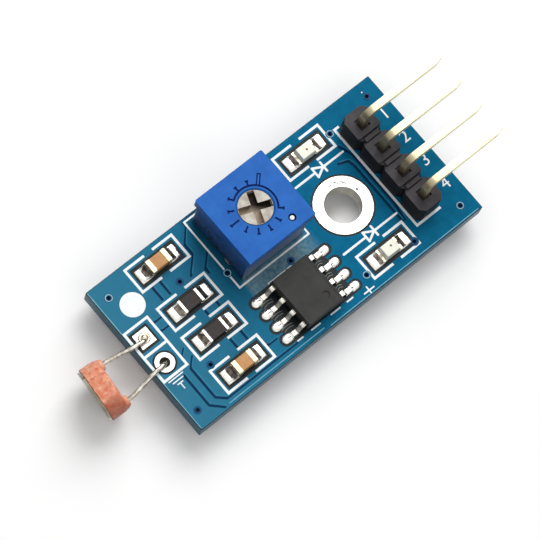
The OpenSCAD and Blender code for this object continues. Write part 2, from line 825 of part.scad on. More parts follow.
module trimmer_element() {
    color("#e8e6df") at_trimmer() difference() {
        union() {
            translate([0, 0, element_z]) linear_extrude(element_t)
                square([low_l - 2*wall_t - 2*element_gap, low_w - 2*wall_t - 2*element_gap], center = true);
            translate([0, 0, element_z + element_t - eps]) linear_extrude(track_t + eps)
                ring_sector(wiper_r - 0.35, wiper_r + 0.35, dead_zone_deg + 35, dead_zone_deg + 325);
        }
        terminal_cuts();
    }
}

module trimmer_base() {
    color("#c9b98f") at_trimmer() difference() {
        translate([0, 0, base_z]) linear_extrude(base_t)
            square([low_l - 2*wall_t, low_w - 2*wall_t], center = true);
        terminal_cuts();
    }
}

module trimmer_terminal(i) {
    p = terminal_at[i - 1];
    color("#d6d0c4") at_trimmer() translate([p[0], p[1], -terminal_tail])
        cylinder(h = terminal_tail + element_z + element_t - 0.1, d = terminal_d, $fn = 24);
}

// Comparator

module chip_profile(half, bevel) {
    polygon([[-half + chip_draft, 0], [half - chip_draft, 0], [half, chip_waist],
             [half - chip_draft, chip_h - bevel], [half - chip_draft - bevel, chip_h],
             [-half + chip_draft, chip_h], [-half, chip_waist]]);
}

// The lead's path from inside the body, over its shoulder and down to its foot
function lead_path() = let (
        shoulder_z = chip_z + chip_waist,
        foot_z = land_z + chip_lead_t/2)
    rounded([[chip_w/2 - chip_root, shoulder_z], [chip_w/2 + chip_shoulder, shoulder_z],
             [chip_span/2 - chip_foot, foot_z], [chip_span/2, foot_z]], chip_bend, 3);

module comparator_lead(i) {
    color("#ddd9d0") at_chip_lead(i) translate([0, chip_lead_w/2, 0])
        rotate([90, 0, 0]) linear_extrude(chip_lead_w) polygon(strip(lead_path(), chip_lead_t));
}

module comparator_body() {
    color("#3a3634") difference() {
        translate([chip_c[0], chip_c[1], chip_z]) intersection() {
            translate([0, chip_l, 0]) rotate([90, 0, 0]) linear_extrude(2*chip_l)
                chip_profile(chip_w/2, chip_bevel);
            translate([-chip_w, 0, 0]) rotate([90, 0, 90]) linear_extrude(2*chip_w)
                chip_profile(chip_l/2, 0.01);
        }
        translate([chip_c[0] + dimple_at[0], chip_c[1] + dimple_at[1], chip_z + chip_h - dimple_deep])
            cylinder(h = 1, d = dimple_d, $fn = 32);
        for (i = [1:chip_leads]) at_chip_lead(i)
            translate([chip_w/2 - chip_root, -chip_lead_w/2, chip_z + chip_waist - chip_lead_t/2])
                cube([1, chip_lead_w, chip_lead_t]);
    }
}

// Chip resistors, chip capacitors and lamps

// A bar along X with true round long edges, resting on z = 0
module bar(l, w, h, r) {
    translate([-l/2, 0, h/2]) rotate([90, 0, 90]) linear_extrude(l) round_rect(w, h, r);
}

module part_core(h, r) {
    translate([0, 0, cap_t]) bar(part_l - 2*cap_t, part_w - 2*cap_t, h - 2*cap_t, r);
}

module part_ends(h, r, l) {
    difference() {
        bar(part_l, part_w, h, r + cap_t/2);
        part_core(h, r);
        translate([0, 0, h/2]) cube([part_l - 2*l, 2*part_w, 2*h], center = true);
    }
}

module resistor_body(i) {
    color("#3a322e") translate([part_x, resistor_y[i - 1], land_z]) part_core(resistor_h, resistor_round);
}

module resistor_ends(i) {
    color("#e6e0d4") translate([part_x, resistor_y[i - 1], land_z])
        part_ends(resistor_h, resistor_round, resistor_cap_l);
}

module capacitor_body(i) {
    color("#cc955a") translate([part_x, capacitor_y[i - 1], land_z]) part_core(capacitor_h, part_round);
}

module capacitor_ends(i) {
    color("#efe6c8") translate([part_x, capacitor_y[i - 1], land_z])
        part_ends(capacitor_h, part_round, capacitor_cap_l);
}

module at_lamp(i) translate([lamp_x, lamp_y[i - 1], land_z]) children();

module lamp_notches() {
    for (side = [-1, 1]) translate([side*lamp_l/2, 0, -1])
        cylinder(h = 3, r = lamp_notch_r, $fn = 24);
}

module lamp_base(i) {
    color("#dfe3d2") at_lamp(i) difference() {
        translate([0, 0, cap_t]) linear_extrude(lamp_base_t - 2*cap_t)
            square([lamp_l - 2*cap_t, lamp_w], center = true);
        for (side = [-1, 1]) translate([side*lamp_l/2, 0, -1])
            cylinder(h = 3, r = lamp_notch_r + cap_t, $fn = 24);
    }
}

module lamp_ends(i) {
    color("#e9e0c4") at_lamp(i) difference() {
        translate([0, 0, 0]) linear_extrude(lamp_base_t) difference() {
            square([lamp_l, lamp_w], center = true);
            square([lamp_l - 2*lamp_cap_l, lamp_w + 1], center = true);
        }
        difference() {
            translate([0, 0, cap_t]) linear_extrude(lamp_base_t - 2*cap_t)
                square([lamp_l - 2*cap_t, lamp_w + 1], center = true);
            for (side = [-1, 1]) translate([side*lamp_l/2, 0, -1])
                cylinder(h = 3, r = lamp_notch_r + cap_t, $fn = 24);
        }
        lamp_notches();
    }
}

module lamp_die(i) {
    color("#8a8f6a") at_lamp(i) translate([-die_side/2, -die_side/2, lamp_base_t - cap_t])
        cube([die_side, die_side, die_t]);
}

module lamp_lens(i) {
    color("#f1f0dc", 0.7) at_lamp(i) difference() {
        translate([0, 0, lamp_base_t - cap_t])
            leaning_block(lens_l, lamp_w, lamp_h - lamp_base_t + cap_t, lens_draft);
        translate([-die_side/2, -die_side/2, lamp_base_t - cap_t - eps])
            cube([die_side, die_side, die_t + eps]);
    }
}

// Header

// One unit of the block, seen from above
module unit_shape() {
    x = block_w/2;
    y = header_pitch/2;
    c = block_cut;
    polygon([[x, -y + c], [x, y - c], [x - c, y], [-x + c, y], [-x, y - c], [-x, -y + c],
             [-x + c, -y], [x - c, -y]]);
}

module header_block() {
    block_top = top + block_h;
    color("#454347") difference() {
        union() {
            difference() {
                for (y = header_y) translate([header_x, y, land_z])
                    linear_extrude(block_h - copper_t) unit_shape();
                for (i = [1:header_pins - 1])
                    translate([header_x - block_w, header_y[i] + (header_pitch - unit_groove_w)/2,
                               block_top - unit_groove_deep])
                        cube([2*block_w, unit_groove_w, 1]);
            }
            for (i = [1:header_pins - 1])
                translate([header_x - unit_web_l/2, header_y[i] + (header_pitch - unit_web_w)/2,
                           block_top - unit_groove_deep - eps])
                    cube([unit_web_l, unit_web_w, unit_groove_deep - unit_web_drop + eps]);
        }
        for (y = header_y) translate([header_x, y, 0]) {
            translate([-pin_side/2, -pin_side/2, 0]) cube([pin_side, pin_side, 2*block_top]);
            translate([-pocket_side/2, -pocket_side/2, block_top - pocket_deep])
                cube([pocket_side, pocket_side, 1]);
        }
        translate([header_x - block_relief_w/2, -2*board_w, land_z - eps])
            cube([block_relief_w, 4*board_w, block_relief_h + eps]);
    }
}

// The bent pin seen from the side
module pin_side_shape() {
    s = pin_side/2;
    r = pin_bend_r;
    difference() {
        union() {
            translate([-s, -pin_tail]) square([pin_side, pin_tail + pin_z - r]);
            translate([r, pin_z - s]) square([pin_reach - r, pin_side]);
            intersection() {
                translate([r, pin_z - r]) circle(r + s, $fn = 48);
                translate([-s, pin_z - r]) square([r + s, r + s]);
            }
        }
        translate([r, pin_z - r]) circle(r - s, $fn = 48);
        translate([r, pin_z - r - 1]) square([pin_reach, 1 + r - s]);
    }
}

// A bar of the pin's width that narrows at both ends
module tapered(from, to) {
    s = pin_side/2;
    n = pin_tip_side/2;
    polygon([[from, -n], [from + pin_tip_l, -s], [to - pin_tip_l, -s], [to, -n],
             [to, n], [to - pin_tip_l, s], [from + pin_tip_l, s], [from, n]]);
}

module header_pin(i) {
    color("#ded9cb") translate([header_x, header_y[i - 1], 0]) intersection() {
        translate([0, pin_side, 0]) rotate([90, 0, 0]) linear_extrude(2*pin_side) pin_side_shape();
        translate([0, 0, -pin_tail - 1]) linear_extrude(pin_tail + pin_z + 2)
            tapered(-2*pin_side - pin_tip_l, pin_reach);
        translate([-1, 0, 0]) rotate([90, 0, 90]) linear_extrude(pin_reach + 2)
            rotate(90) tapered(-pin_tail, pin_z + pin_tip_l + 2*pin_side);
        union() {
            translate([-pin_side, -pin_side, -pin_tail]) cube([pin_reach - 2*pin_side, 2*pin_side, 2*pin_z]);
            translate([0, pin_side, pin_z]) rotate([90, 0, 0]) linear_extrude(2*pin_side)
                tapered(0, pin_reach);
        }
    }
}

circuit_board();
mounting_ring_top();
mounting_ring_bottom();
hole_eyelets();
via_eyelets();
tinned_lands();
white_print();
solder_fillets();
solder_joints();
sensor_body();
sensor_electrodes();
sensor_track();
sensor_window();
for (i = [1:2]) sensor_lead(i);
trimmer_housing();
trimmer_rotor();
trimmer_seal();
trimmer_wiper();
trimmer_element();
trimmer_base();
for (i = [1:3]) trimmer_terminal(i);
comparator_body();
for (i = [1:chip_leads]) comparator_lead(i);
for (i = [1:2]) resistor_body(i);
for (i = [1:2]) resistor_ends(i);
for (i = [1:2]) capacitor_body(i);
for (i = [1:2]) capacitor_ends(i);
for (i = [1:2]) lamp_base(i);
for (i = [1:2]) lamp_ends(i);
for (i = [1:2]) lamp_die(i);
for (i = [1:2]) lamp_lens(i);
header_block();
for (i = [1:header_pins]) header_pin(i);
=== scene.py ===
# Light sensor module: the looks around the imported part.
# Everything is modelled in millimetres and shrunk to metres when it takes its place.
import math
import bmesh
import bpy
from mathutils import Matrix, Vector


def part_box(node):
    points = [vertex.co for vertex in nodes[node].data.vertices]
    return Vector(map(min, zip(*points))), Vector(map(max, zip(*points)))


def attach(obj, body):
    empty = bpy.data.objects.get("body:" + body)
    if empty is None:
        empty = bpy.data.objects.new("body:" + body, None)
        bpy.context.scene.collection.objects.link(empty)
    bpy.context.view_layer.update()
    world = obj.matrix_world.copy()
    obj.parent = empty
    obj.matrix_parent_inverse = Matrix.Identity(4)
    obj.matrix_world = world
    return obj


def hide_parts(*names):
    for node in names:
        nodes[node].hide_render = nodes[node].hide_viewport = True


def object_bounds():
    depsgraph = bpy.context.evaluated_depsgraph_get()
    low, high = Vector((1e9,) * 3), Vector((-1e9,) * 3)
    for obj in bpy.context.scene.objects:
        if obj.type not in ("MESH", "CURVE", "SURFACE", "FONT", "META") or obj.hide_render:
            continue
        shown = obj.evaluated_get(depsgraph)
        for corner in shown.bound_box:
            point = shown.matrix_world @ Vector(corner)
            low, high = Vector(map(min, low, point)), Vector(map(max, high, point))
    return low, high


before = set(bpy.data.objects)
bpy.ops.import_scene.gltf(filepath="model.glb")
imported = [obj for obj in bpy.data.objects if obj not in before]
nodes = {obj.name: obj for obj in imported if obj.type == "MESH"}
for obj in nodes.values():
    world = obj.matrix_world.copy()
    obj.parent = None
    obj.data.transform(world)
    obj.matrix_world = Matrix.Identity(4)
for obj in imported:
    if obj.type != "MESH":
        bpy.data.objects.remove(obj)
cad_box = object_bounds()
MM = 0.001


# Picking and placing

def select_only(*objects):
    """Leaves just these objects selected, the first one active."""
    bpy.ops.object.select_all(action="DESELECT")
    for thing in objects:
        thing.select_set(True)
    bpy.context.view_layer.objects.active = objects[0]


def newest():
    """The object that an operator has just made."""
    return bpy.context.view_layer.objects.active


def apply_place(thing):
    """Moves an object's place, turn and size into its mesh."""
    select_only(thing)
    bpy.ops.object.transform_apply(location=True, rotation=True, scale=True)


def start_edit(thing, mode="FACE"):
    """Opens a mesh for edit-mode work, with nothing selected."""
    select_only(thing)
    bpy.ops.object.mode_set(mode="EDIT")
    bpy.ops.mesh.select_mode(type=mode)
    bpy.ops.mesh.select_all(action="DESELECT")


def end_edit():
    """Closes a mesh again."""
    bpy.ops.object.mode_set(mode="OBJECT")


def pick_faces(thing, test):
    """Selects the faces whose middle and normal pass the test."""
    bpy.ops.mesh.select_mode(type="FACE")
    bpy.ops.mesh.select_all(action="DESELECT")
    mesh = bmesh.from_edit_mesh(thing.data)
    for face in mesh.faces:
        if test(face.calc_center_median(), face.normal):
            face.select_set(True)
    bmesh.update_edit_mesh(thing.data)


def pick_edges(thing, test):
    """Selects the edges whose two ends pass the test."""
    bpy.ops.mesh.select_mode(type="EDGE")
    bpy.ops.mesh.select_all(action="DESELECT")
    mesh = bmesh.from_edit_mesh(thing.data)
    for edge in mesh.edges:
        if test(edge.verts[0].co, edge.verts[1].co):
            edge.select_set(True)
    bmesh.update_edit_mesh(thing.data)


def modify(thing, kind, **settings):
    """Adds a modifier with its settings and applies it."""
    select_only(thing)
    modifier = thing.modifiers.new(kind.lower(), kind)
    for key, value in settings.items():
        setattr(modifier, key, value)
    bpy.ops.object.modifier_apply(modifier=modifier.name)


def cut(thing, cutter, operation="DIFFERENCE"):
    """Cuts a piece with a cutter, which is then cleared away."""
    modify(thing, "BOOLEAN", operation=operation, solver="EXACT", use_self=True, object=cutter)
    bpy.data.objects.remove(cutter)


def soften(thing, width, steps=2, angle=32):
    """Rounds the sharp edges of a moulded or cut piece and shades it smooth between them."""
    modify(thing, "BEVEL", width=width, segments=steps, limit_method="ANGLE",
           angle_limit=math.radians(angle), use_clamp_overlap=True, harden_normals=False)
    smooth(thing)


def smooth(thing, angle=35):
    """Smooth shading between sharp edges, with flat faces kept flat."""
    select_only(thing)
    bpy.ops.object.shade_smooth_by_angle(angle=math.radians(angle))
    modify(thing, "WEIGHTED_NORMAL", mode="FACE_AREA", weight=50, keep_sharp=True)


def melt(thing, voxel, passes):
    """Gives a piece the soft outline of something that was liquid."""
    modify(thing, "REMESH", mode="VOXEL", voxel_size=voxel, use_smooth_shade=True)
    modify(thing, "SMOOTH", factor=0.6, iterations=passes)


def node_copy(name, source, keep_facets=False):
    """A copy of a CAD node, in millimetres, with its flat faces whole again."""
    thing = bpy.data.objects.new(name, nodes[source].data.copy())
    bpy.context.scene.collection.objects.link(thing)
    thing.data.materials.clear()
    thing.scale = (1 / MM,) * 3
    apply_place(thing)
    start_edit(thing)
    bpy.ops.mesh.select_all(action="SELECT")
    bpy.ops.mesh.remove_doubles(threshold=0.0004)
    if not keep_facets:
        bpy.ops.mesh.dissolve_limited(angle_limit=math.radians(0.6))
    end_edit()
    if thing.data.has_custom_normals:
        bpy.ops.mesh.customdata_custom_splitnormals_clear()
    return thing


def join(name, things):
    """Makes one object of several."""
    select_only(*things)
    bpy.ops.object.join()
    whole = newest()
    whole.name = name
    return whole


def place(thing, made, body="board", stands_for=()):
    """Shrinks a finished piece to metres and gives it its slot, finish and body."""
    thing.scale = (MM,) * 3
    apply_place(thing)
    thing.data.materials.clear()
    thing.data.materials.append(made["material"])
    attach(thing, body)
    if stands_for:
        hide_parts(*stands_for)


def recolour(thing, made, test):
    """Gives a second finish to the faces of a placed piece that pass a test in millimetres."""
    thing.data.materials.append(made["material"])
    start_edit(thing)
    pick_faces(thing, lambda middle, normal: test(middle / MM, normal))
    thing.active_material_index = 1
    bpy.ops.object.material_slot_assign()
    end_edit()


def low_high(node):
    """A CAD node's box, in millimetres."""
    low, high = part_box(node)
    return low / MM, high / MM


def middle_of(node):
    """The middle of a CAD node's box in plan, in millimetres."""
    low, high = low_high(node)
    return (low.x + high.x) / 2, (low.y + high.y) / 2


def hole_of_pin(number):
    """Where a header pin goes into the board: the middle of its square, upright leg."""
    low, high = low_high(f"header_pin_{number}")
    return round(low.x + (high.y - low.y) / 2, 3), round((low.y + high.y) / 2, 3)


# Places on the board, from the frame

board_low, board_high = low_high("circuit_board")
TOP = round(board_high.z, 3)
housing_low, housing_high = low_high("trimmer_housing")
chip_low, chip_high = low_high("comparator_body")
pin_holes = [hole_of_pin(number) for number in range(1, 5)]
# The sensor's holes lie in line with the header's two middle pins
WIRE_RADIUS = 0.21
sensor_x = round(low_high("sensor_lead_1")[1].x - WIRE_RADIUS, 3)
sensor_holes = [(sensor_x, y) for x, y in pin_holes[1:3]]
terminal_holes = [tuple(round(part, 3) for part in middle_of(f"trimmer_terminal_{number}"))
                  for number in (1, 2, 3)]


# Materials

# That of common plastics and resins. It is also the shader's default, which metals keep.
PLASTIC_IOR = 1.5


def linear(code):
    """An sRGB hex colour as linear red, green, blue and alpha."""
    channels = [int(code[i:i + 2], 16) / 255 for i in (1, 3, 5)]
    return [c / 12.92 if c <= 0.04045 else ((c + 0.055) / 1.055) ** 2.4 for c in channels] + [1.0]


def add(tree, kind, inputs=None, **settings):
    """Adds a node with its settings, and fills its inputs with values or links."""
    made = tree.nodes.new(kind)
    for key, value in settings.items():
        setattr(made, key, value)
    for key, value in (inputs or {}).items():
        if isinstance(value, bpy.types.NodeSocket):
            tree.links.new(value, made.inputs[key])
        else:
            made.inputs[key].default_value = value
    return made


def per_mm(size):
    """The scale of a pattern whose features are this many millimetres apart."""
    return 1 / (size * MM)


def finish(name, colour, shade, patch, rough, grain, depth, metallic=0.0, stretch=None,
           contrast=0.35, **sockets):
    """A surface of one colour that drifts to a second one in soft patches, with a fine grain in
    its relief and its gloss. Sizes are in millimetres. Returns the material and its parts."""
    material = bpy.data.materials.new(name)
    material.use_nodes = True
    tree = material.node_tree
    tree.nodes.clear()
    at = add(tree, "ShaderNodeTexCoord").outputs["Object"]
    drawn = at
    if stretch:
        drawn = add(tree, "ShaderNodeMapping", {"Vector": at, "Scale": stretch}).outputs[0]
    drift = add(tree, "ShaderNodeTexNoise", {"Vector": drawn, "Scale": per_mm(patch),
                                             "Detail": 4.0, "Roughness": 0.6}).outputs["Fac"]
    fine = add(tree, "ShaderNodeTexNoise", {"Vector": drawn, "Scale": per_mm(grain),
                                            "Detail": 3.0}).outputs["Fac"]
    amount = add(tree, "ShaderNodeMapRange", {"Value": drift, "From Min": 0.5 - contrast / 2,
                                              "From Max": 0.5 + contrast / 2}).outputs[0]
    mixed = add(tree, "ShaderNodeMix", {0: amount, 6: linear(colour), 7: linear(shade)},
                data_type="RGBA").outputs[2]
    gloss = add(tree, "ShaderNodeMapRange", {"Value": fine, "From Min": 0.3, "From Max": 0.7,
                                             "To Min": rough[0], "To Max": rough[1]}).outputs[0]
    relief = add(tree, "ShaderNodeBump", {"Height": fine, "Strength": 1.0,
                                          "Distance": depth * MM}).outputs[0]
    shader = add(tree, "ShaderNodeBsdfPrincipled",
                 {"Base Color": mixed, "Roughness": gloss, "Normal": relief, "Metallic": metallic,
                  "IOR": PLASTIC_IOR})
    for key, value in sockets.items():
        shader.inputs[key.replace("_", " ")].default_value = value
    add(tree, "ShaderNodeOutputMaterial", {"Surface": shader.outputs[0]})
    return {"material": material, "tree": tree, "at": at, "colour": mixed, "shader": shader}


# Liquid solder mask over bare glass cloth laminate: dark on its faces, teal at the routed edge
laminate = finish("mask_over_laminate", "#1c2727", "#0b1518", 0.22, (0.3, 0.45), 0.12, 0.01,
                  contrast=0.25, Specular_IOR_Level=0.2)
# The same mask over copper: the metal shines through and makes it a strong teal blue
pour = finish("mask_over_copper", "#046d94", "#036287", 0.7, (0.42, 0.56), 0.25, 0.003,
              Specular_IOR_Level=0.04)
# Mask sunk between two runs of copper: deep navy
groove_mask = finish("mask_in_groove", "#04385c", "#032c4c", 0.8, (0.4, 0.5), 0.1, 0.002,
                     Specular_IOR_Level=0.06)
# Painted highlight: pale teal lines where the copper ends and along the board's left edge
painted_step_highlight = finish("painted_step_highlight_line", "#6fb4c6", "#4b9db4", 0.6, (0.3, 0.44), 0.1, 0.004)
# Painted highlight beside each gap between the tracks: a fainter teal line
painted_groove_highlight = finish("painted_groove_highlight_line", "#2787ab", "#1a7499", 0.5, (0.3, 0.44), 0.1, 0.004,
                    Specular_IOR_Level=0.2)
# Mask drawn thin round a via's ring: a very pale blue
ring_edge = finish("mask_over_via_edge", "#b7d6de", "#86b6c5", 0.3, (0.35, 0.5), 0.1, 0.004)
# Painted reflection: dull grey arcs between the comparator's leads
painted_arc_reflection = finish("painted_lead_reflection", "#8f938a", "#6f746d", 0.3, (0.4, 0.6), 0.1, 0.004)
# Scratches in the tinned ring where a screw has turned: dull grey
tin_scratch = finish("scratched_tin", "#6d6961", "#55514a", 0.2, (0.4, 0.6), 0.08, 0.004)
# Hot-air levelled tin: a bright, slightly uneven metal
tinned = finish("levelled_tin", "#f8f7f2", "#e9e6de", 0.5, (0.26, 0.42), 0.16, 0.003, metallic=1.0)
# Plated wall of the screw hole: the same tin, but duller
hole_tin = finish("plated_bore", "#d9d6cd", "#b9b4a8", 0.4, (0.34, 0.5), 0.12, 0.006, metallic=1.0)
# Copper rings under the mask round the vias: a darker blue than the pour
via_ring = finish("mask_over_ring", "#0a4f80", "#084270", 0.4, (0.3, 0.42), 0.1, 0.004,
                  Specular_IOR_Level=0.15)
# Levelled tin on the lands under the chips, which cooled in soft heaps
land_tin = finish("levelled_heaps", "#f6f4ee", "#dcd8ce", 0.3, (0.2, 0.36), 0.2, 0.01, metallic=1.0)
# Screen-printed epoxy ink: matt white with a slightly ragged surface
ink = finish("white_ink", "#ffffff", "#f2f8fa", 0.4, (0.5, 0.65), 0.08, 0.006)
# Reflowed solder: smooth bright metal with a faint frosting
solder = finish("reflowed_solder", "#f2f0ec", "#d6d3cc", 0.7, (0.16, 0.3), 0.14, 0.003, metallic=1.0)
# The same solder with a warm film of flux
aged_solder = finish("filmed_solder", "#efe9da", "#a8997c", 0.22, (0.24, 0.4), 0.12, 0.008,
                     metallic=1.0, contrast=0.25)
# Painted dark reflection and painted shade on patches of the fillets: duller and brown
painted_dark_slope = finish("painted_dark_fillet", "#a39a8f", "#493f37", 0.4, (0.3, 0.46), 0.16, 0.01, metallic=1.0,
                   contrast=0.3)
# Flux pooled on the solder in the sensor's lower hole: glossy dark olive brown
pooled_flux = finish("pooled_flux", "#564a22", "#3a3014", 0.3, (0.15, 0.3), 0.15, 0.01)
# Dipped epoxy coat on the sensor: salmon orange, mottled and slightly lumpy
coat = finish("dipped_coat", "#f8b493", "#df7551", 0.5, (0.36, 0.52), 0.1, 0.016,
              contrast=0.3, Subsurface_Weight=0.12, Subsurface_Radius=(0.0012, 0.0005, 0.0003))
# Painted shade on the coat's rim against the window: dark brick red
painted_rim_shade = finish("painted_rim_shade", "#6e2f22", "#4f2018", 0.3, (0.4, 0.55), 0.1, 0.008)
# Evaporated metal electrode on the sensor's face: pale and satin
electrode = finish("sensor_electrode", "#f0efe6", "#dedcd0", 0.3, (0.3, 0.42), 0.05, 0.002,
                   metallic=1.0)
# Sintered sensing layer: matt orange brown
track = finish("sensing_layer", "#d2622e", "#ad4a1e", 0.2, (0.6, 0.75), 0.04, 0.003)
# Cast clear epoxy over the face: glossy, with a faint cream tint
window = finish("clear_epoxy", "#f1ebda", "#e6dfca", 0.8, (0.04, 0.08), 0.5, 0.002,
                Transmission_Weight=0.94)
# Tin-plated copper wire: a drawn, slightly dull metal
wire = finish("plated_wire", "#f6f1e6", "#a89d8f", 0.5, (0.14, 0.28), 0.08, 0.006, metallic=1.0,
              contrast=0.3)
# Moulded nylon of the trimmer's housing: strong blue with a low gloss
trimmer_blue = finish("moulded_blue", "#286dc4", "#2061b6", 1.6, (0.34, 0.46), 0.12, 0.005,
                      Specular_IOR_Level=0.12)
# Shadowed blue of the marks sunk in the trimmer's top
sunk_blue = finish("sunk_blue", "#122c70", "#0d2260", 0.5, (0.5, 0.6), 0.08, 0.003,
                   Specular_IOR_Level=0.05)
# Painted highlight: a white spot in the trimmer's index hole
painted_index_highlight = finish("painted_index_glint", "#f4f4f2", "#e6e6e2", 0.3, (0.35, 0.5), 0.05, 0.004)
# Moulded cream plastic of the rotor, dusty and unevenly worn
rotor_cream = finish("moulded_cream", "#cfcabd", "#a3968a", 0.8, (0.36, 0.5), 0.08, 0.012,
                     contrast=0.3)
# Painted shade on the bottom and walls of its cross slots
painted_slot_shade = finish("painted_slot_shade", "#3a3028", "#1f1915", 0.5, (0.5, 0.65), 0.12, 0.01, contrast=0.25,
                    Specular_IOR_Level=0.1)
# Nitrile ring: matt black
rubber = finish("nitrile", "#2a2a2b", "#232324", 0.5, (0.45, 0.6), 0.06, 0.004)
# Stamped phosphor bronze: smooth and golden brown
bronze = finish("stamped_bronze", "#cf9e55", "#b98843", 0.5, (0.25, 0.4), 0.05, 0.002, metallic=1.0)
# Fired alumina: matt and off-white
ceramic = finish("fired_alumina", "#e6e4dc", "#d9d6cc", 0.5, (0.5, 0.65), 0.05, 0.004)
# Poured resin at the trimmer's foot: amber, with a slight gloss
resin = finish("poured_resin", "#c3b184", "#b09c6c", 0.8, (0.2, 0.35), 0.2, 0.01)
# Transfer-moulded epoxy of the comparator: near black, its filler just felt as a fine grain
moulding = finish("filled_epoxy", "#3a3938", "#302f2e", 1.1, (0.5, 0.68), 0.08, 0.012,
                  Specular_IOR_Level=0.25)
# Tin-plated copper alloy leads: bright, with a soft sheen
lead_tin = finish("plated_lead", "#e4e1da", "#c4c0b6", 0.3, (0.2, 0.38), 0.08, 0.004, metallic=1.0)
# Overglaze of a chip resistor: dark brown, with a low gloss
glaze = finish("resistor_glaze", "#2a2422", "#362e2b", 0.5, (0.3, 0.44), 0.1, 0.006,
               Specular_IOR_Level=0.25)
# Plated ends of the resistors: bright, slightly rough metal
end_tin = finish("plated_end", "#ebe8df", "#cfcabc", 0.4, (0.24, 0.44), 0.08, 0.006, metallic=1.0)
# The capacitors' ends: the same plating, yellowed by flux
warm_tin = finish("yellowed_end", "#f2e6c6", "#dccda4", 0.4, (0.24, 0.44), 0.08, 0.006,
                  metallic=1.0)
# Fired capacitor ceramic: tan and slightly waxy
tan = finish("capacitor_ceramic", "#cb9459", "#bb8349", 0.5, (0.32, 0.48), 0.07, 0.005)
# Glass-filled board under a lamp: matt, greenish white
lamp_board = finish("lamp_board", "#dfe3d2", "#d3d8c2", 0.5, (0.4, 0.55), 0.06, 0.004)
# Gilded ends of the lamps: pale gold
gold = finish("lamp_gilding", "#f5efdc", "#e6dcbc", 0.3, (0.25, 0.4), 0.06, 0.003, metallic=1.0)
# Light-making die inside a lamp: dull olive crystal
die = finish("lamp_die", "#8a8f6a", "#7d825c", 0.1, (0.3, 0.4), 0.05, 0.002)
# Cast lens: milky, glossy epoxy
lens = finish("cast_lens", "#f8f8ec", "#f1f1da", 0.45, (0.12, 0.22), 0.3, 0.004, contrast=0.25)
# The same die as the lens shows it: a small reddish spot in its middle
die_spot = finish("die_under_lens", "#946552", "#7c4c3e", 0.1, (0.2, 0.3), 0.05, 0.002)
# Moulded glass-filled polyester of the header: charcoal, with a fine grain
header_black = finish("moulded_polyester", "#504d50", "#413f42", 0.9, (0.45, 0.6), 0.1, 0.01,
                      Specular_IOR_Level=0.1)
# Plated square pins: pale yellow metal, its patches drawn out along them
pin_tin = finish("plated_pin", "#dcd9b4", "#ccc7a0", 0.4, (0.36, 0.5), 0.1, 0.0015, metallic=1.0,
                 stretch=(0.25, 1.0, 1.0))


# Painted light and shade, specks and other local colour

def fade(made, axis, start, full, most=1.0, least=0.0):
    """An amount that grows evenly from one place along an axis to another, in millimetres."""
    way = add(made["tree"], "ShaderNodeSeparateXYZ", {0: made["at"]}).outputs[axis]
    return add(made["tree"], "ShaderNodeMapRange",
               {"Value": way, "From Min": start * MM, "From Max": full * MM, "To Min": least,
                "To Max": most}).outputs[0]


def speckle(made, size, detail, bare, thick, least, most):
    """An amount that wavers in spots of a size in millimetres. It is least where the pattern is
    bare and most where it is thick."""
    spots = add(made["tree"], "ShaderNodeTexNoise", {"Vector": made["at"], "Scale": per_mm(size),
                                                     "Detail": detail}).outputs["Fac"]
    return add(made["tree"], "ShaderNodeMapRange", {"Value": spots, "From Min": bare,
                                                    "From Max": thick, "To Min": least,
                                                    "To Max": most}).outputs[0]


def turned(made, axis, limit, size_only=False):
    """1 on the faces whose normal reaches less than a limit along an axis, and 0 elsewhere."""
    normal = add(made["tree"], "ShaderNodeNewGeometry").outputs["True Normal"]
    reach = add(made["tree"], "ShaderNodeSeparateXYZ", {0: normal}).outputs[axis]
    if size_only:
        reach = add(made["tree"], "ShaderNodeMath", {0: reach}, operation="ABSOLUTE").outputs[0]
    return add(made["tree"], "ShaderNodeMath", {0: reach, 1: limit}, operation="LESS_THAN").outputs[0]


def product(made, whole, *amounts):
    """Several amounts multiplied together."""
    for amount in amounts:
        whole = add(made["tree"], "ShaderNodeMath", {0: whole, 1: amount},
                    operation="MULTIPLY").outputs[0]
    return whole


def tint(made, amount, colour):
    """Lays a colour over a finish, as thickly as the amount says at each place."""
    made["colour"] = add(made["tree"], "ShaderNodeMix", {0: amount, 6: made["colour"], 7: colour},
                         data_type="RGBA").outputs[2]
    made["tree"].links.new(made["colour"], made["shader"].inputs["Base Color"])


def painted_mask_light_and_shade():
    """The mask over the copper: a painted sheen that makes it paler at the sensor's end of the board,
    painted shade along the trimmer's foot, and a painted glare between the trimmer and the
    comparator."""
    # Painted sheen: paler towards the sensor's end of the board
    tint(pour, fade(pour, "X", board_low.x + 15.2, board_low.x + 0.2, 0.55), linear("#44859c"))
    # Painted shade along the trimmer's foot
    painted_shade = product(pour, fade(pour, "X", housing_low.x - 1.1, housing_low.x + 0.1, 0.58),
                    fade(pour, "X", housing_low.x + 2.5, housing_low.x + 1.5),
                    fade(pour, "Y", housing_low.y - 0.5, housing_low.y + 0.3))
    tint(pour, painted_shade, linear("#06222c"))
    # Painted glare, mottled, between the trimmer and the comparator
    painted_glare = product(pour, fade(pour, "X", housing_low.x - 0.1, housing_low.x + 0.4),
                   fade(pour, "X", housing_high.x + 0.4, housing_high.x - 1.2),
                   fade(pour, "Y", housing_low.y + 0.3, housing_low.y),
                   fade(pour, "Y", chip_high.y - 0.3, chip_high.y),
                   speckle(pour, 0.32, 4.0, bare=0.38, thick=0.6, least=0.4, most=0.9))
    tint(pour, painted_glare, linear("#7c979f"))


def laminate_sides():
    """The board's sides, where the mask's teal lies on the cut glass and resin."""
    tint(laminate, turned(laminate, "Z", 0.5, size_only=True), linear("#1c5a72"))


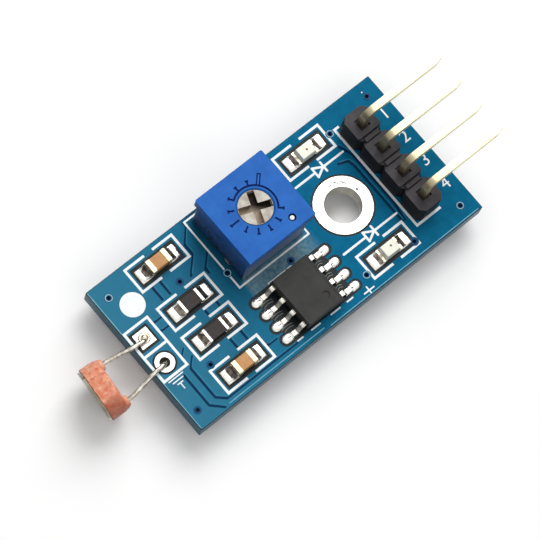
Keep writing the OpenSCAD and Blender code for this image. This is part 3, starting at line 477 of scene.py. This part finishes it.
def coat_specks_and_painted_light():
    """The sensor's coat: red specks, a painted shade that makes the low end redder, and a painted
    highlight that makes the back paler.
    """
    back = low_high("sensor_body")[1].x
    specks = speckle(coat, 0.16, 2.0, bare=0.6, thick=0.7, least=0.0, most=0.6)
    tint(coat, specks, linear("#b9482f"))
    # Painted shade: redder towards the sensor's low end
    tint(coat, fade(coat, "Y", -0.5, -3.0, 0.85), linear("#bf4a28"))
    # Painted highlight: paler towards the back
    tint(coat, fade(coat, "X", back - 1.1, back, 0.55), linear("#f6c8a8"))


def painted_trimmer_sides():
    """The trimmer's sides: painted shade, darker towards the foot, and a painted grey reflection on
    the side beside the comparator.
    """
    # Painted shade on the sides, speckled and darker towards the foot
    painted_shade = product(trimmer_blue, fade(trimmer_blue, "Z", 6.0, 2.0, most=0.9, least=0.22),
                    speckle(trimmer_blue, 0.26, 4.0, bare=0.4, thick=0.65, least=0.6, most=1.3),
                    turned(trimmer_blue, "Z", 0.5))
    # Dark painted shade on most sides, a grey painted reflection on the side towards the comparator
    shade_and_reflection_colour = add(trimmer_blue["tree"], "ShaderNodeMix",
               {0: turned(trimmer_blue, "Y", -0.5), 6: linear("#273038"), 7: linear("#8c9194")},
               data_type="RGBA").outputs[2]
    tint(trimmer_blue, painted_shade, shade_and_reflection_colour)


def painted_header_shade():
    """The header's sides, with a painted shade that makes them nearly black."""
    tint(header_black, turned(header_black, "Z", 0.3), linear("#201f21"))


def painted_pin_shade():
    """The pins browner round the bend: a painted shade and a painted dark reflection of the header's
    block.
    """
    bend = low_high("header_pin_1")[0].x
    tint(pin_tin, fade(pin_tin, "X", bend + 1.9, bend + 0.5, 0.6), linear("#8d7760"))


def painted_slot_light():
    """The rotor's slots: a painted light makes their side towards the sensor and the comparator
    paler.
    """
    tree = painted_slot_shade["tree"]
    middle = sum(middle_of("trimmer_housing"))
    parts = add(tree, "ShaderNodeSeparateXYZ", {0: painted_slot_shade["at"]})
    across = add(tree, "ShaderNodeMath", {0: parts.outputs["X"], 1: parts.outputs["Y"]},
                 operation="ADD").outputs[0]
    # Painted light: paler on the side towards the sensor and the comparator
    lit_side = add(tree, "ShaderNodeMapRange", {"Value": across, "From Min": (middle + 0.55) * MM,
                                             "From Max": (middle - 0.55) * MM}).outputs[0]
    tint(painted_slot_shade, lit_side, linear("#ad9d8d"))


painted_mask_light_and_shade()
laminate_sides()
coat_specks_and_painted_light()
painted_trimmer_sides()
painted_header_shade()
painted_pin_shade()
painted_slot_light()

# The CAD nodes that are shown as they are
node_finishes = {
    "mounting_ring_top": tinned, "mounting_ring_bottom": tinned, "hole_eyelets": tinned,
    "via_eyelets": via_ring, "sensor_electrodes": electrode, "sensor_track": track,
    "trimmer_seal": rubber, "trimmer_wiper": bronze, "trimmer_element": ceramic,
    "trimmer_base": resin, "trimmer_terminal_1": wire, "trimmer_terminal_2": wire,
    "trimmer_terminal_3": wire, "lamp_die_1": die, "lamp_die_2": die,
}
for node_name, made in node_finishes.items():
    nodes[node_name].data.materials.clear()
    nodes[node_name].data.materials.append(made["material"])


# Simple solids

def disc(x, y, diameter, low, high, sides=40, turn=0.0):
    """A short upright cylinder."""
    bpy.ops.mesh.primitive_cylinder_add(vertices=sides, radius=diameter / 2, depth=high - low,
                                        location=(x, y, (low + high) / 2), rotation=(0, 0, turn))
    thing = newest()
    apply_place(thing)
    return thing


def bar(x0, y0, x1, y1, width, low, high):
    """A straight bar with round ends, used to cut a groove or to print a line."""
    length = math.hypot(x1 - x0, y1 - y0)
    thing = disc(x0, y0, width, low, high, 16, math.atan2(y1 - y0, x1 - x0))
    start_edit(thing, "VERT")
    mesh = bmesh.from_edit_mesh(thing.data)
    along = Vector((x1 - x0, y1 - y0, 0)).normalized()
    for vertex in mesh.verts:
        vertex.select_set((vertex.co - Vector((x0, y0, vertex.co.z))).dot(along) > 0.001)
    mesh.select_flush(True)
    bmesh.update_edit_mesh(thing.data)
    bpy.ops.transform.translate(value=along * length)
    end_edit()
    return thing


def block(x0, y0, x1, y1, low, high):
    """A box from its corners."""
    bpy.ops.mesh.primitive_cube_add(size=1, location=((x0 + x1) / 2, (y0 + y1) / 2, (low + high) / 2))
    thing = newest()
    thing.scale = (x1 - x0, y1 - y0, high - low)
    apply_place(thing)
    return thing


# What one top is lifted above the next, so that no two share a plane
HAIR = 0.0005


def chain(points, width, low, high):
    """Bars along a line of points, each a hair above the last."""
    return [bar(*a, *b, width, low, high + HAIR * number)
            for number, (a, b) in enumerate(zip(points, points[1:]))]


# Board

# How far the mask over copper stands above the mask in its gaps
SKIN = 0.02
# How far a cutter reaches past the sheet that it cuts
PAST = 0.1
# Between two of the comparator's leads
LEAD_PITCH = 1.27
# The widths of the gap beside a track, and of the openings round a hole, the ring and a via
GROOVE = 0.22
HOLE_CLEARANCE = 2.2
RING_CLEARANCE = 5.35
VIA_CLEARANCE = 0.5
# Gaps between the tracks and the pour round them, as lines of points
top_lines = [
    [(-16.7, 4.3), (-16.7, 3.0)], [(-15.9, 4.3), (-15.9, 3.0)],
    [(-11.25, 6.9), (-11.25, 6.5), (-12.35, 5.35), (-12.35, 4.3), (-13.6, 3.1)],
    [(-11.2, 3.85), (-12.3, 2.8), (-12.3, 2.4)],
    [(-18.5, 1.95), (-17.7, 1.95)], [(-18.5, 1.05), (-17.7, 1.05)],
    [(-18.6, -1.7), (-18.0, -1.2)], [(-18.6, -2.8), (-17.85, -2.1)],
    [(-19.4, -2.9), (-19.4, -6.0), (-18.5, -6.9)],
    [(-18.6, -2.8), (-18.6, -5.8), (-17.9, -6.45), (-10.5, -6.45)],
    [(-14.55, -2.8), (-14.55, -3.8)], [(-13.45, -2.8), (-13.45, -3.8)],
    [(-14.6, 0.1), (-14.6, -0.2)], [(-13.4, 0.1), (-13.4, -0.2)],
    [(-12.5, -5.15), (-11.6, -5.15)],
    [(2.0, 2.9), (2.8, 2.6), (2.95, 2.0), (2.95, -1.9), (2.95, -4.0)],
    [(3.0, 4.0), (3.45, 2.9), (3.45, -2.4), (3.2, -4.0)],
]
bottom_lines = [
    [(-19.9, 4.2), (-17.2, 4.2), (-15.6, 2.6), (-9.9, 2.6)],
    [(-19.9, -3.0), (-16.5, -3.0), (-13.5, -6.0), (2.2, -6.0), (3.6, -4.6)],
    [(-7.4, 0.3), (-3.0, 0.3), (-1.4, 1.9)], [(2.4, 1.4), (3.6, 1.4)],
]
# Painted highlight lines near the board's edges, where the copper ends: width and ends
highlight_lines = [(0.08, (-18.0, -6.87), (-8.0, -6.87)), (0.07, (-7.4, -7.05), (8.6, -7.05)),
              (0.08, (-21.1, 7.0), (-21.1, -7.0))]
vias = [(-20.0, 5.72), (-20.37, -5.73), (7.7, 5.9), (7.58, -5.95), (-14.65, 3.27), (-17.16, -3.52),
        (-11.165, 1.45), (3.15, 5.3), (-2.38, -5.65), (2.58, -5.92), (-6.45, -0.93)]
# The vias where the mask draws back and shows a pale rim
pale_vias = [vias[number] for number in (0, 3, 6, 7, 8)]


def routed_board():
    """The laminate, with its routed edges broken and its screw hole plated."""
    board = node_copy("board_laminate", "circuit_board")

    def outside(a, b):
        return any(abs(a[axis] - side[axis]) < 0.01 and abs(b[axis] - side[axis]) < 0.01
                   for axis in (0, 1) for side in (board_low, board_high))
    start_edit(board)
    pick_edges(board, outside)
    bpy.ops.mesh.bevel(offset=0.07, segments=2, affect="EDGES")
    end_edit()
    smooth(board)
    place(board, laminate, stands_for=["circuit_board"])
    bore = 1.6
    recolour(board, hole_tin, lambda middle, normal: abs(normal.z) < 0.3
             and math.hypot(middle.x, middle.y) < bore + 0.05)


def clearances(lines, holes, low, high):
    """Cutters beside the tracks and round the drilled holes, the screw hole's ring and the vias."""
    cuts = []
    for line in lines:
        cuts += chain(line, GROOVE, low, high)
    for (x, y), across in holes:
        cuts.append(disc(x, y, across, low, high))
    cuts.append(disc(0, 0, RING_CLEARANCE, low, high, 72))
    for x, y in vias:
        cuts.append(disc(x, y, VIA_CLEARANCE, low, high, 20))
    return cuts


def land_windows(low, high):
    """Cutters round the lands of the chip parts, of the comparator and of the square pad."""
    cuts = []
    half_l, half_w = 2.2, 0.92
    for part in ("resistor_body_1", "resistor_body_2", "capacitor_body_1", "capacitor_body_2",
                 "lamp_base_1", "lamp_base_2"):
        x, y = middle_of(part)
        cuts.append(block(x - half_l, y - half_w, x + half_l, y + half_w, low, high))
    x, y = middle_of("comparator_body")
    cuts.append(block(x - 3.55, y - 2.42, x + 3.3, y + 2.42, low, high))
    lead_reach, round_end = 3.71, 1.14
    for row in range(4):
        row_y = y + LEAD_PITCH * (row - 1.5)
        cuts.append(bar(x - lead_reach, row_y, x + lead_reach, row_y, round_end, low, high))
    x, y = sensor_holes[0]
    cuts.append(block(x - 1.0, y - 0.92, x + 0.9, y + 0.93, low, high))
    return cuts


def copper_pour(name, low, high, cuts):
    """The raised sheet of mask over the copper pour, with its clearances cut out."""
    inset = 0.06
    sheet = block(board_low.x + inset, board_low.y + inset, board_high.x - inset,
                  board_high.y - inset, low, high)
    sheet.name = name
    cut(sheet, join("cutter", cuts))
    soften(sheet, 0.012, 1)
    place(sheet, pour)


def top_pour():
    """The top sheet, wider open where the solder has spread."""
    low, high = TOP - 0.01, TOP + SKIN
    holes = [(at, HOLE_CLEARANCE) for at in pin_holes] + [(sensor_holes[1], 2.0)]
    holes += [(at, 1.7) for at in terminal_holes]
    cuts = clearances(top_lines, holes, low - PAST, high + PAST)
    cuts += land_windows(low - PAST, high + PAST)
    copper_pour("top_pour", low, high, cuts)


def bottom_pour():
    """The sheet on the underside."""
    low, high = -SKIN, 0.01
    holes = [(at, HOLE_CLEARANCE) for at in pin_holes + sensor_holes + terminal_holes]
    copper_pour("bottom_pour", low, high,
                clearances(bottom_lines, holes, low - PAST, high + PAST))


def groove_floors():
    """The navy floors of the gaps beside the tracks."""
    runs = []
    for number, line in enumerate(top_lines):
        runs += chain(line, GROOVE + 0.03, TOP - 0.005, TOP + 0.002 + 0.4 * HAIR * number)
    place(join("groove_mask", runs), groove_mask)


def painted_edge_highlights():
    """Painted highlights: faint pale lines beside the gaps between the tracks, and along the pour's
    and the board's edges.
    """
    edges = []
    aside_x, aside_y = 0.2, 0.09
    # Each line beside a gap is shifted to one side, as a painted highlight
    for number, line in enumerate(top_lines):
        beside = [(x + aside_x, y + aside_y) for x, y in line]
        edges += chain(beside, 0.07, TOP, TOP + SKIN + 0.003 + 0.4 * HAIR * number)
    place(join("painted_groove_highlights", edges), painted_groove_highlight)
    # Painted highlights along the pour's and the board's edges
    steps = [bar(*start, *end, width, TOP, TOP + SKIN + 0.008) for width, start, end in highlight_lines]
    place(join("painted_step_highlights", steps), painted_step_highlight)


# White print

def numeral(text, x, y, low, high):
    """A numeral as a thin solid."""
    bpy.ops.object.text_add(location=(x, y, (low + high) / 2))
    thing = newest()
    thing.data.body = text
    thing.data.size = 1.5
    thing.data.align_x = "CENTER"
    thing.data.align_y = "CENTER"
    thing.data.extrude = (high - low) / 2
    thing.data.resolution_u = 6
    bpy.ops.object.convert(target="MESH")
    apply_place(thing)
    return thing


def diode_sign(x_from, x_to, y, low, high):
    """A diode's sign across a line: a triangle that points at a bar."""
    middle, half = (x_from + x_to) / 2, 0.45
    strokes = [[(x_from, y), (middle - half, y)], [(middle + half, y), (x_to, y)],
               [(middle - half, y - half), (middle - half, y + half), (middle + 0.4, y),
                (middle - half, y - half)],
               [(middle + half, y - half), (middle + half, y + half)]]
    things = []
    for number, stroke in enumerate(strokes):
        things += chain(stroke, 0.2, low, high + 4 * HAIR * number)
    return things


def small_print():
    """The ground, plus and diode signs, the pins' numerals and the dot at the header's first pin."""
    low, high = TOP, TOP + 0.03
    # The ground sign below the sensor's hole, then the plus sign by the comparator: width, ends
    strokes = [(0.1, (-20.7, -2.6), (-19.3, -2.6)), (0.1, (-20.5, -2.88), (-19.5, -2.88)),
               (0.1, (-20.25, -3.16), (-19.75, -3.16)), (0.1, (-20.0, -3.16), (-20.0, -3.7)),
               (0.13, (-3.55, -6.75), (-2.55, -6.75)), (0.13, (-3.05, -7.0), (-3.05, -6.4))]
    things = [bar(*start, *end, width, low, high + 2 * HAIR * number)
              for number, (width, start, end) in enumerate(strokes)]
    things += diode_sign(-2.1, 3.0, 3.5, low, high)
    things += diode_sign(-2.7, 3.0, -3.2, low, high)
    for number, (x, y) in enumerate(pin_holes):
        things.append(numeral(str(number + 1), x + 2.9, y - 0.1, low, high))
    dot_x, dot_y, dot_d = 7.6, 6.42, 0.13
    things.append(disc(dot_x, dot_y, dot_d, low, high, 20))
    place(join("small_print", things), ink)


def printed_lines():
    """The outlines and the round dot, with the ink's edges rounded."""
    outlines = node_copy("outline_print", "white_print")
    soften(outlines, 0.008, 1)
    place(outlines, ink, stands_for=["white_print"])


# Metal on the board

def lands():
    """The tinned lands with the swell of solder that levelling leaves."""
    thing = node_copy("land_tin", "tinned_lands")
    start_edit(thing)
    pick_faces(thing, lambda middle, normal: normal.z > 0.9)
    swell = ((0.035, 0.045), (0.05, 0.035), (0.07, 0.025), (0.09, 0.014), (0.08, 0.004))
    for inward, upward in swell:
        bpy.ops.mesh.inset(thickness=inward, depth=upward, use_individual=True)
    end_edit()
    smooth(thing, 80)
    place(thing, land_tin, stands_for=["tinned_lands"])


def ring_scratches():
    """Short scratches and one pit in the tinned ring round the screw hole."""
    level = low_high("mounting_ring_top")[1].z
    low, high = level - 0.01, level + 0.002
    nearest, first_angle, width = 1.83, 42, 0.09
    marks = []
    for number in range(8):
        out = nearest + 0.1 * (number % 3)
        angle = math.radians(first_angle + 6 * number)
        turn = angle + 1.2 + 0.5 * (number % 2)
        reach = 0.07 + 0.04 * (number % 3)
        x, y = out * math.cos(angle), out * math.sin(angle)
        dx, dy = reach * math.cos(turn), reach * math.sin(turn)
        marks.append(bar(x - dx, y - dy, x + dx, y + dy, width, low, high + HAIR * number))
    pit_x, pit_y, pit_d = 1.79, 0.35, 0.22
    marks.append(disc(pit_x, pit_y, pit_d, low, high, 20))
    place(join("ring_scratches", marks), tin_scratch)


def solder_cones():
    """The joints under the board and in its holes, with flux pooled on the sensor's lower one."""
    joints = node_copy("solder_cones", "solder_joints", keep_facets=True)
    smooth(joints, 60)
    place(joints, solder, stands_for=["solder_joints"])
    recolour(joints, pooled_flux, lambda middle, normal: normal.z > 0.5 and middle.z > 0
             and middle.x < -18 and middle.y < 0)


def pad_mound():
    """The solder that rose through the square pad's hole and set round the wire in two rings."""
    x, y = sensor_holes[0]
    bpy.ops.mesh.primitive_uv_sphere_add(segments=40, ring_count=20, radius=0.5,
                                         location=(x, y, TOP + 0.03))
    mound = newest()
    mound.scale = (1.06, 1, 0.34)
    apply_place(mound)
    start_edit(mound)
    for out, lift in ((0.3, -0.045), (0.16, 0.03)):
        pick_faces(mound, lambda middle, normal: middle.z > TOP + 0.08
                   and out - 0.07 < math.hypot(middle.x - x, middle.y - y) < out + 0.05)
        bpy.ops.transform.translate(value=(0, 0, lift))
    end_edit()
    mound.name = "pad_mound"
    smooth(mound, 80)
    place(mound, aged_solder)


def solder_slopes():
    """The fillets, rounded in plan where the molten tin drew in from the lands' corners, with a
    painted dark reflection at the chips' ends and painted shade along the comparator's leads."""
    slopes = node_copy("solder_slopes", "solder_fillets", keep_facets=True)
    below, above = TOP - 0.2, TOP + 2.0
    pools, ends = [], []
    for part in ("resistor_ends_1", "resistor_ends_2", "capacitor_ends_1", "capacitor_ends_2",
                 "lamp_ends_1", "lamp_ends_2"):
        low, high = low_high(part)
        for x in (low.x, high.x):
            y, half = (low.y + high.y) / 2, (high.y - low.y) / 2 + 0.04
            pool = disc(0, 0, 2.0, below, above, 48)
            pool.scale = (0.88, half, 1)
            pool.location = (x, y, 0)
            apply_place(pool)
            pools.append(pool)
            ends.append((x, y, half))
    x, y = middle_of("comparator_body")
    pools.append(block(x - 4.4, y - 2.6, x + 4.4, y + 2.6, below, above))
    cut(slopes, join("pools", pools), "INTERSECT")
    melt(slopes, 0.04, 4)
    place(slopes, solder, stands_for=["solder_fillets"])

    # Each end's patch is a ragged ellipse: its middle, half its length, its share of the width
    patch_out, half_length, share, ragged = 0.22, 0.36, 0.8, 0.13

    # A painted dark reflection round each end, and painted shade on all the comparator's fillets
    def painted_dark(middle, normal):
        for number, (end_x, end_y, half) in enumerate(ends):
            out = abs(middle.x - end_x)
            along, across = (out - patch_out) / half_length, (middle.y - end_y) / (half * share)
            edge = 1 + ragged * math.sin(3 * math.atan2(across, along) + 1.9 * number)
            if out < 1.2 and math.hypot(along, across) < edge:
                return True
        return chip_low.x - 1 < middle.x < chip_high.x + 1 and middle.y < chip_high.y + 0.5
    recolour(slopes, painted_dark_slope, painted_dark)


def via_rims():
    """The thin pale rims round the vias where the mask runs out over the ring."""
    rims = []
    for x, y in pale_vias:
        bpy.ops.mesh.primitive_torus_add(major_segments=36, minor_segments=8, major_radius=0.28,
                                         minor_radius=0.035, location=(x, y, TOP + 0.05))
        rim = newest()
        rim.scale = (1, 1, 0.6)
        apply_place(rim)
        smooth(rim, 60)
        rims.append(rim)
    place(join("via_rims", rims), ring_edge)


def painted_reflection_arcs():
    """Painted reflection: thin curved grey arcs between the comparator's leads."""
    x_mid, y_mid = middle_of("comparator_body")
    width, bow, steps = 0.05, 0.1, 4
    arcs = []
    for gap in (-1, 0, 1):
        y = y_mid + LEAD_PITCH * gap
        for x_from, x_to, lift in ((-3.5, -2.4, 0.16), (-3.35, -2.45, -0.08), (2.2, 2.85, 0.12),
                                   (2.25, 2.8, -0.1)):
            points = [(x_mid + x_from + (x_to - x_from) * step / steps,
                       y + lift + bow * math.sin(math.pi * step / steps))
                      for step in range(steps + 1)]
            arcs += chain(points, width, TOP - 0.005, TOP + 0.02)
    place(join("painted_reflection_arcs", arcs), painted_arc_reflection)


# Light sensor

def window_front():
    """The way that the sensor's window looks, from the biggest of its flat faces."""
    glass = node_copy("front_finder", "sensor_window")
    front = max(glass.data.polygons, key=lambda face: face.area).normal.copy()
    bpy.data.objects.remove(glass)
    return front


def sensor_shell():
    """The dipped coat, melted and lumpy, with a painted shade on its rim round the window."""
    thing = node_copy("sensor_coat", "sensor_body", keep_facets=True)
    melt(thing, 0.07, 4)
    clouds = bpy.data.textures.new("coat_lumps", "CLOUDS")
    clouds.noise_scale = 0.55
    modify(thing, "DISPLACE", texture=clouds, strength=0.06, mid_level=0.3, texture_coords="LOCAL")
    modify(thing, "SMOOTH", factor=0.5, iterations=2)
    front = window_front()
    reach = max(vertex.co.dot(front) for vertex in thing.data.vertices)
    rim_depth = 0.25
    place(thing, coat, stands_for=["sensor_body"])
    recolour(thing, painted_rim_shade, lambda middle, normal: normal.dot(front) > 0.6
             and middle.dot(front) > reach - rim_depth)


def sensor_glass():
    """The clear window, its back held a hair off the layers and the coat that it lies on."""
    front = window_front()
    thing = node_copy("sensor_glass", "sensor_window")
    start_edit(thing)
    pick_faces(thing, lambda middle, normal: normal.dot(front) < -0.9)
    bpy.ops.transform.translate(value=front * 0.012)
    end_edit()
    soften(thing, 0.09, 3, 40)
    place(thing, window, stands_for=["sensor_window"])


def sensor_wires():
    """The two drawn wires, shaded smooth."""
    for number in (1, 2):
        source = f"sensor_lead_{number}"
        thing = node_copy(f"sensor_wire_{number}", source, keep_facets=True)
        smooth(thing, 50)
        place(thing, wire, stands_for=[source])


# Pieces that only need their edges broken

# The node's name, how many there are, the bevel's width and steps, the slot and the finish
broken_edges = [
    ("comparator_body", 1, 0.06, 2, "chip_moulding", moulding),
    ("resistor_body", 2, 0.03, 2, "resistor_glaze", glaze),
    ("resistor_ends", 2, 0.02, 2, "end_tin", end_tin),
    ("capacitor_body", 2, 0.05, 2, "capacitor_ceramic", tan),
    ("capacitor_ends", 2, 0.03, 2, "end_tin", warm_tin),
    ("lamp_base", 2, 0.02, 1, "lamp_base", lamp_board),
    ("lamp_ends", 2, 0.015, 1, "lamp_gold", gold),
    ("lamp_lens", 2, 0.06, 3, "lamp_lens", lens),
    ("header_block", 1, 0.05, 2, "header_moulding", header_black),
    ("comparator_lead", 8, 0.03, 2, "chip_lead", lead_tin),
    ("header_pin", 4, 0.05, 2, "header_pin", pin_tin),
]


def all_broken_edges():
    """Copies each of these nodes and breaks its edges."""
    for base, count, width, steps, slot, made in broken_edges:
        for number in range(1, count + 1):
            source = base if count == 1 else f"{base}_{number}"
            thing = node_copy(source + "_piece", source)
            soften(thing, width, steps)
            place(thing, made, stands_for=[source])


def lens_dies():
    """The die's spot on each lamp's lens, a low dome."""
    for number, (dx, dy) in ((1, (0.1, 0.0)), (2, (0.15, 0.1))):
        x, y = middle_of(f"lamp_lens_{number}")
        top = low_high(f"lamp_lens_{number}")[1].z
        bpy.ops.mesh.primitive_uv_sphere_add(segments=24, ring_count=12, radius=0.1,
                                             location=(x + dx, y + dy, top))
        spot = newest()
        spot.scale = (1, 1, 0.12)
        spot.name = f"lens_die_{number}"
        apply_place(spot)
        smooth(spot, 80)
        place(spot, die_spot)


# Trimmer

# The index hole, from the housing's middle
index_x = middle_of("trimmer_housing")[0] + 1.76
index_y = middle_of("trimmer_housing")[1] - 2.45
dial_x, dial_y = middle_of("trimmer_rotor")
# The dial's marks: how deep they are sunk, and how far out they start and end
MARK_DEPTH = 0.08
MARKS_FROM, MARKS_TO = 1.6, 3.2


def from_dial(point):
    """How far a point is from the dial's middle, in plan."""
    return math.hypot(point.x - dial_x, point.y - dial_y)


def trimmer_shell():
    """The housing with its outer corners broken and the dial's sunk marks left sharp, the marks'
    floors and walls in a darker blue."""
    thing = node_copy("trimmer_housing_piece", "trimmer_housing")

    def outer(point):
        return min(abs(point.x - housing_low.x), abs(point.x - housing_high.x),
                   abs(point.y - housing_low.y), abs(point.y - housing_high.y)) < 0.25
    start_edit(thing)
    pick_edges(thing, lambda a, b: outer(a) and outer(b) and (a - b).length > 1.0)
    bpy.ops.mesh.bevel(offset=0.09, segments=3, affect="EDGES")
    end_edit()
    smooth(thing)
    place(thing, trimmer_blue, stands_for=["trimmer_housing"])

    index_radius, near_top = 0.36, 0.02

    def sunk(middle, normal):
        deep = housing_high.z - middle.z
        from_index = math.hypot(middle.x - index_x, middle.y - index_y)
        in_index = from_index < index_radius and deep > near_top
        on_floor = normal.z > 0.9 and abs(deep - MARK_DEPTH) < 0.01
        on_wall = (abs(normal.z) < 0.3 and near_top < deep < MARK_DEPTH - 0.01
                   and MARKS_FROM < from_dial(middle) < MARKS_TO)
        return in_index or on_floor or on_wall
    recolour(thing, sunk_blue, sunk)


def trimmer_dial():
    """The rotor with its edges broken, and painted shade on the bottom and walls of its cross slots.
    """
    thing = node_copy("trimmer_rotor_piece", "trimmer_rotor", keep_facets=True)
    soften(thing, 0.05, 2)
    place(thing, rotor_cream, "rotor", ["trimmer_rotor"])
    top = low_high("trimmer_rotor")[1].z
    unshaded_rim, slot_depth, slot_reach = 0.07, 1.5, 1.41
    recolour(thing, painted_slot_shade, lambda middle, normal: unshaded_rim < top - middle.z < slot_depth
             and from_dial(middle) < slot_reach)


def index_dot():
    """A white disc at the bottom of the index hole, slightly crowned: a painted highlight."""
    thing = disc(index_x, index_y, 0.38, housing_high.z - 0.32, housing_high.z - 0.1, 32)
    start_edit(thing)
    pick_faces(thing, lambda middle, normal: normal.z > 0.9)
    bpy.ops.mesh.inset(thickness=0.06, depth=0.03)
    end_edit()
    thing.name = "index_dot"
    smooth(thing, 60)
    place(thing, painted_index_highlight)


routed_board()
top_pour()
groove_floors()
painted_edge_highlights()
bottom_pour()
printed_lines()
small_print()
lands()
ring_scratches()
solder_cones()
pad_mound()
via_rims()
painted_reflection_arcs()
solder_slopes()
sensor_shell()
sensor_glass()
sensor_wires()
trimmer_shell()
trimmer_dial()
all_broken_edges()
index_dot()
lens_dies()


# Floor, light and camera

def stage_floor():
    """White paper under the pins' tails, which are the part's lowest points."""
    bpy.ops.mesh.primitive_plane_add(size=4, location=(0, 0, cad_box[0][2]))
    floor = newest()
    floor.name = "floor"
    material = bpy.data.materials.new("paper_sweep")
    material.use_nodes = True
    tree = material.node_tree
    tree.nodes.clear()
    # The camera, metal and glass see the paper a little brighter than it lights the object
    paper = add(tree, "ShaderNodeBsdfDiffuse", {"Color": linear("#fbfbfb")})
    rays = add(tree, "ShaderNodeLightPath")
    seen = add(tree, "ShaderNodeMath", {0: rays.outputs["Is Camera Ray"],
                                        1: rays.outputs["Is Glossy Ray"]},
               operation="MAXIMUM").outputs[0]
    seen = add(tree, "ShaderNodeMath", {0: seen, 1: rays.outputs["Is Transmission Ray"]},
               operation="MAXIMUM").outputs[0]
    # A painted pool of light: the paper glows in a bright patch below the screw hole, where light
    # falls through it
    light_pool_at = (0.1 * MM, -0.9 * MM, 0.0)
    out = add(tree, "ShaderNodeVectorMath",
              {0: add(tree, "ShaderNodeTexCoord").outputs["Object"], 1: light_pool_at},
              operation="DISTANCE").outputs["Value"]
    patch = add(tree, "ShaderNodeMapRange", {"Value": out, "From Min": 0.3 * MM,
                                             "From Max": 2.0 * MM, "To Min": 0.38, "To Max": 0.05},
                interpolation_type="SMOOTHSTEP").outputs[0]
    lift = add(tree, "ShaderNodeMath", {0: seen, 1: patch}, operation="MULTIPLY").outputs[0]
    glow = add(tree, "ShaderNodeEmission", {"Color": linear("#ffffff"), "Strength": lift})
    both = add(tree, "ShaderNodeAddShader", {0: paper.outputs[0], 1: glow.outputs[0]})
    # What it throws back at the object's sides is that of a greyer paper
    grey = add(tree, "ShaderNodeBsdfDiffuse", {"Color": linear("#8a8a8a")})
    mixed = add(tree, "ShaderNodeMixShader", {0: seen, 1: grey.outputs[0], 2: both.outputs[0]})
    add(tree, "ShaderNodeOutputMaterial", {"Surface": mixed.outputs[0]})
    floor.data.materials.append(material)


def soft_light(name, spot, size, power):
    """A square lamp that faces the screw hole. Its place and size are in metres."""
    bpy.ops.object.light_add(type="AREA", location=spot)
    lamp = newest()
    lamp.name = name
    lamp.data.shape = "SQUARE"
    lamp.data.size = size
    lamp.data.energy = power
    lamp.rotation_euler = (-Vector(spot)).to_track_quat("-Z", "Y").to_euler()


def white_room(strength):
    """A white room that lights the object, seen by the camera as plain white."""
    world = bpy.data.worlds.new("white_room")
    bpy.context.scene.world = world
    world.use_nodes = True
    tree = world.node_tree
    tree.nodes.clear()
    rays = add(tree, "ShaderNodeLightPath")
    seen = add(tree, "ShaderNodeMath", {0: rays.outputs["Is Camera Ray"],
                                        1: rays.outputs["Is Transmission Ray"]},
               operation="MAXIMUM").outputs[0]
    way = add(tree, "ShaderNodeTexCoord").outputs["Generated"]
    height = add(tree, "ShaderNodeSeparateXYZ", {0: way}).outputs["Z"]
    # The room's walls are darker than its ceiling, so that slopes of bright metal show dark
    from_wall = add(tree, "ShaderNodeMapRange", {"Value": height, "From Min": 0.25, "From Max": 0.75,
                                                 "To Min": 0.06, "To Max": 1.0}).outputs[0]
    lit = add(tree, "ShaderNodeMath", {0: from_wall, 1: strength}, operation="MULTIPLY").outputs[0]
    in_mirror = add(tree, "ShaderNodeMapRange", {"Value": height, "From Min": 0.32, "From Max": 0.68,
                                                 "To Min": 0.05, "To Max": 1.0}).outputs[0]
    mirrored = add(tree, "ShaderNodeMix", {0: rays.outputs["Is Glossy Ray"], 2: lit, 3: in_mirror},
                   data_type="FLOAT").outputs[0]
    room = add(tree, "ShaderNodeBackground", {"Color": linear("#ffffff"), "Strength": mirrored})
    back = add(tree, "ShaderNodeBackground", {"Color": linear("#ffffff"), "Strength": 1.0})
    mixed = add(tree, "ShaderNodeMixShader", {0: seen, 1: room.outputs[0], 2: back.outputs[0]})
    add(tree, "ShaderNodeOutputWorld", {"Surface": mixed.outputs[0]})


# The photograph's side and the lens that fits it, both in pixels
PHOTO_SIDE = 540
FOCAL_LENGTH = 3412.12


def photo_camera():
    """The camera that was fitted to the photograph."""
    camera_data = bpy.data.cameras.new("photo_camera")
    camera = bpy.data.objects.new("photo_camera", camera_data)
    bpy.context.scene.collection.objects.link(camera)
    camera_data.sensor_width = 36
    camera_data.sensor_height = 36
    camera_data.lens = FOCAL_LENGTH / PHOTO_SIDE * camera_data.sensor_width
    camera_data.clip_start = 0.01
    camera_data.clip_end = 20
    right = Vector((0.752381, -0.6444561, 0.1363792))
    up = Vector((0.5889953, 0.7508656, 0.2988067))
    back = Vector((-0.2949702, -0.1444898, 0.9445186))
    at = Vector((-89.0042, -40.0218, 260.0932)) * MM
    stand = Matrix((right, up, back)).transposed().to_4x4()
    stand.translation = at
    camera.matrix_world = stand
    bpy.context.scene.camera = camera


stage_floor()
soft_light("window_light", spot=(0.36, 0.26, 0.5), size=0.5, power=3.4)
soft_light("fill_light", spot=(-0.1, -0.5, 0.5), size=0.5, power=0.35)
white_room(strength=0.66)
photo_camera()
bpy.context.scene.view_settings.view_transform = "Standard"
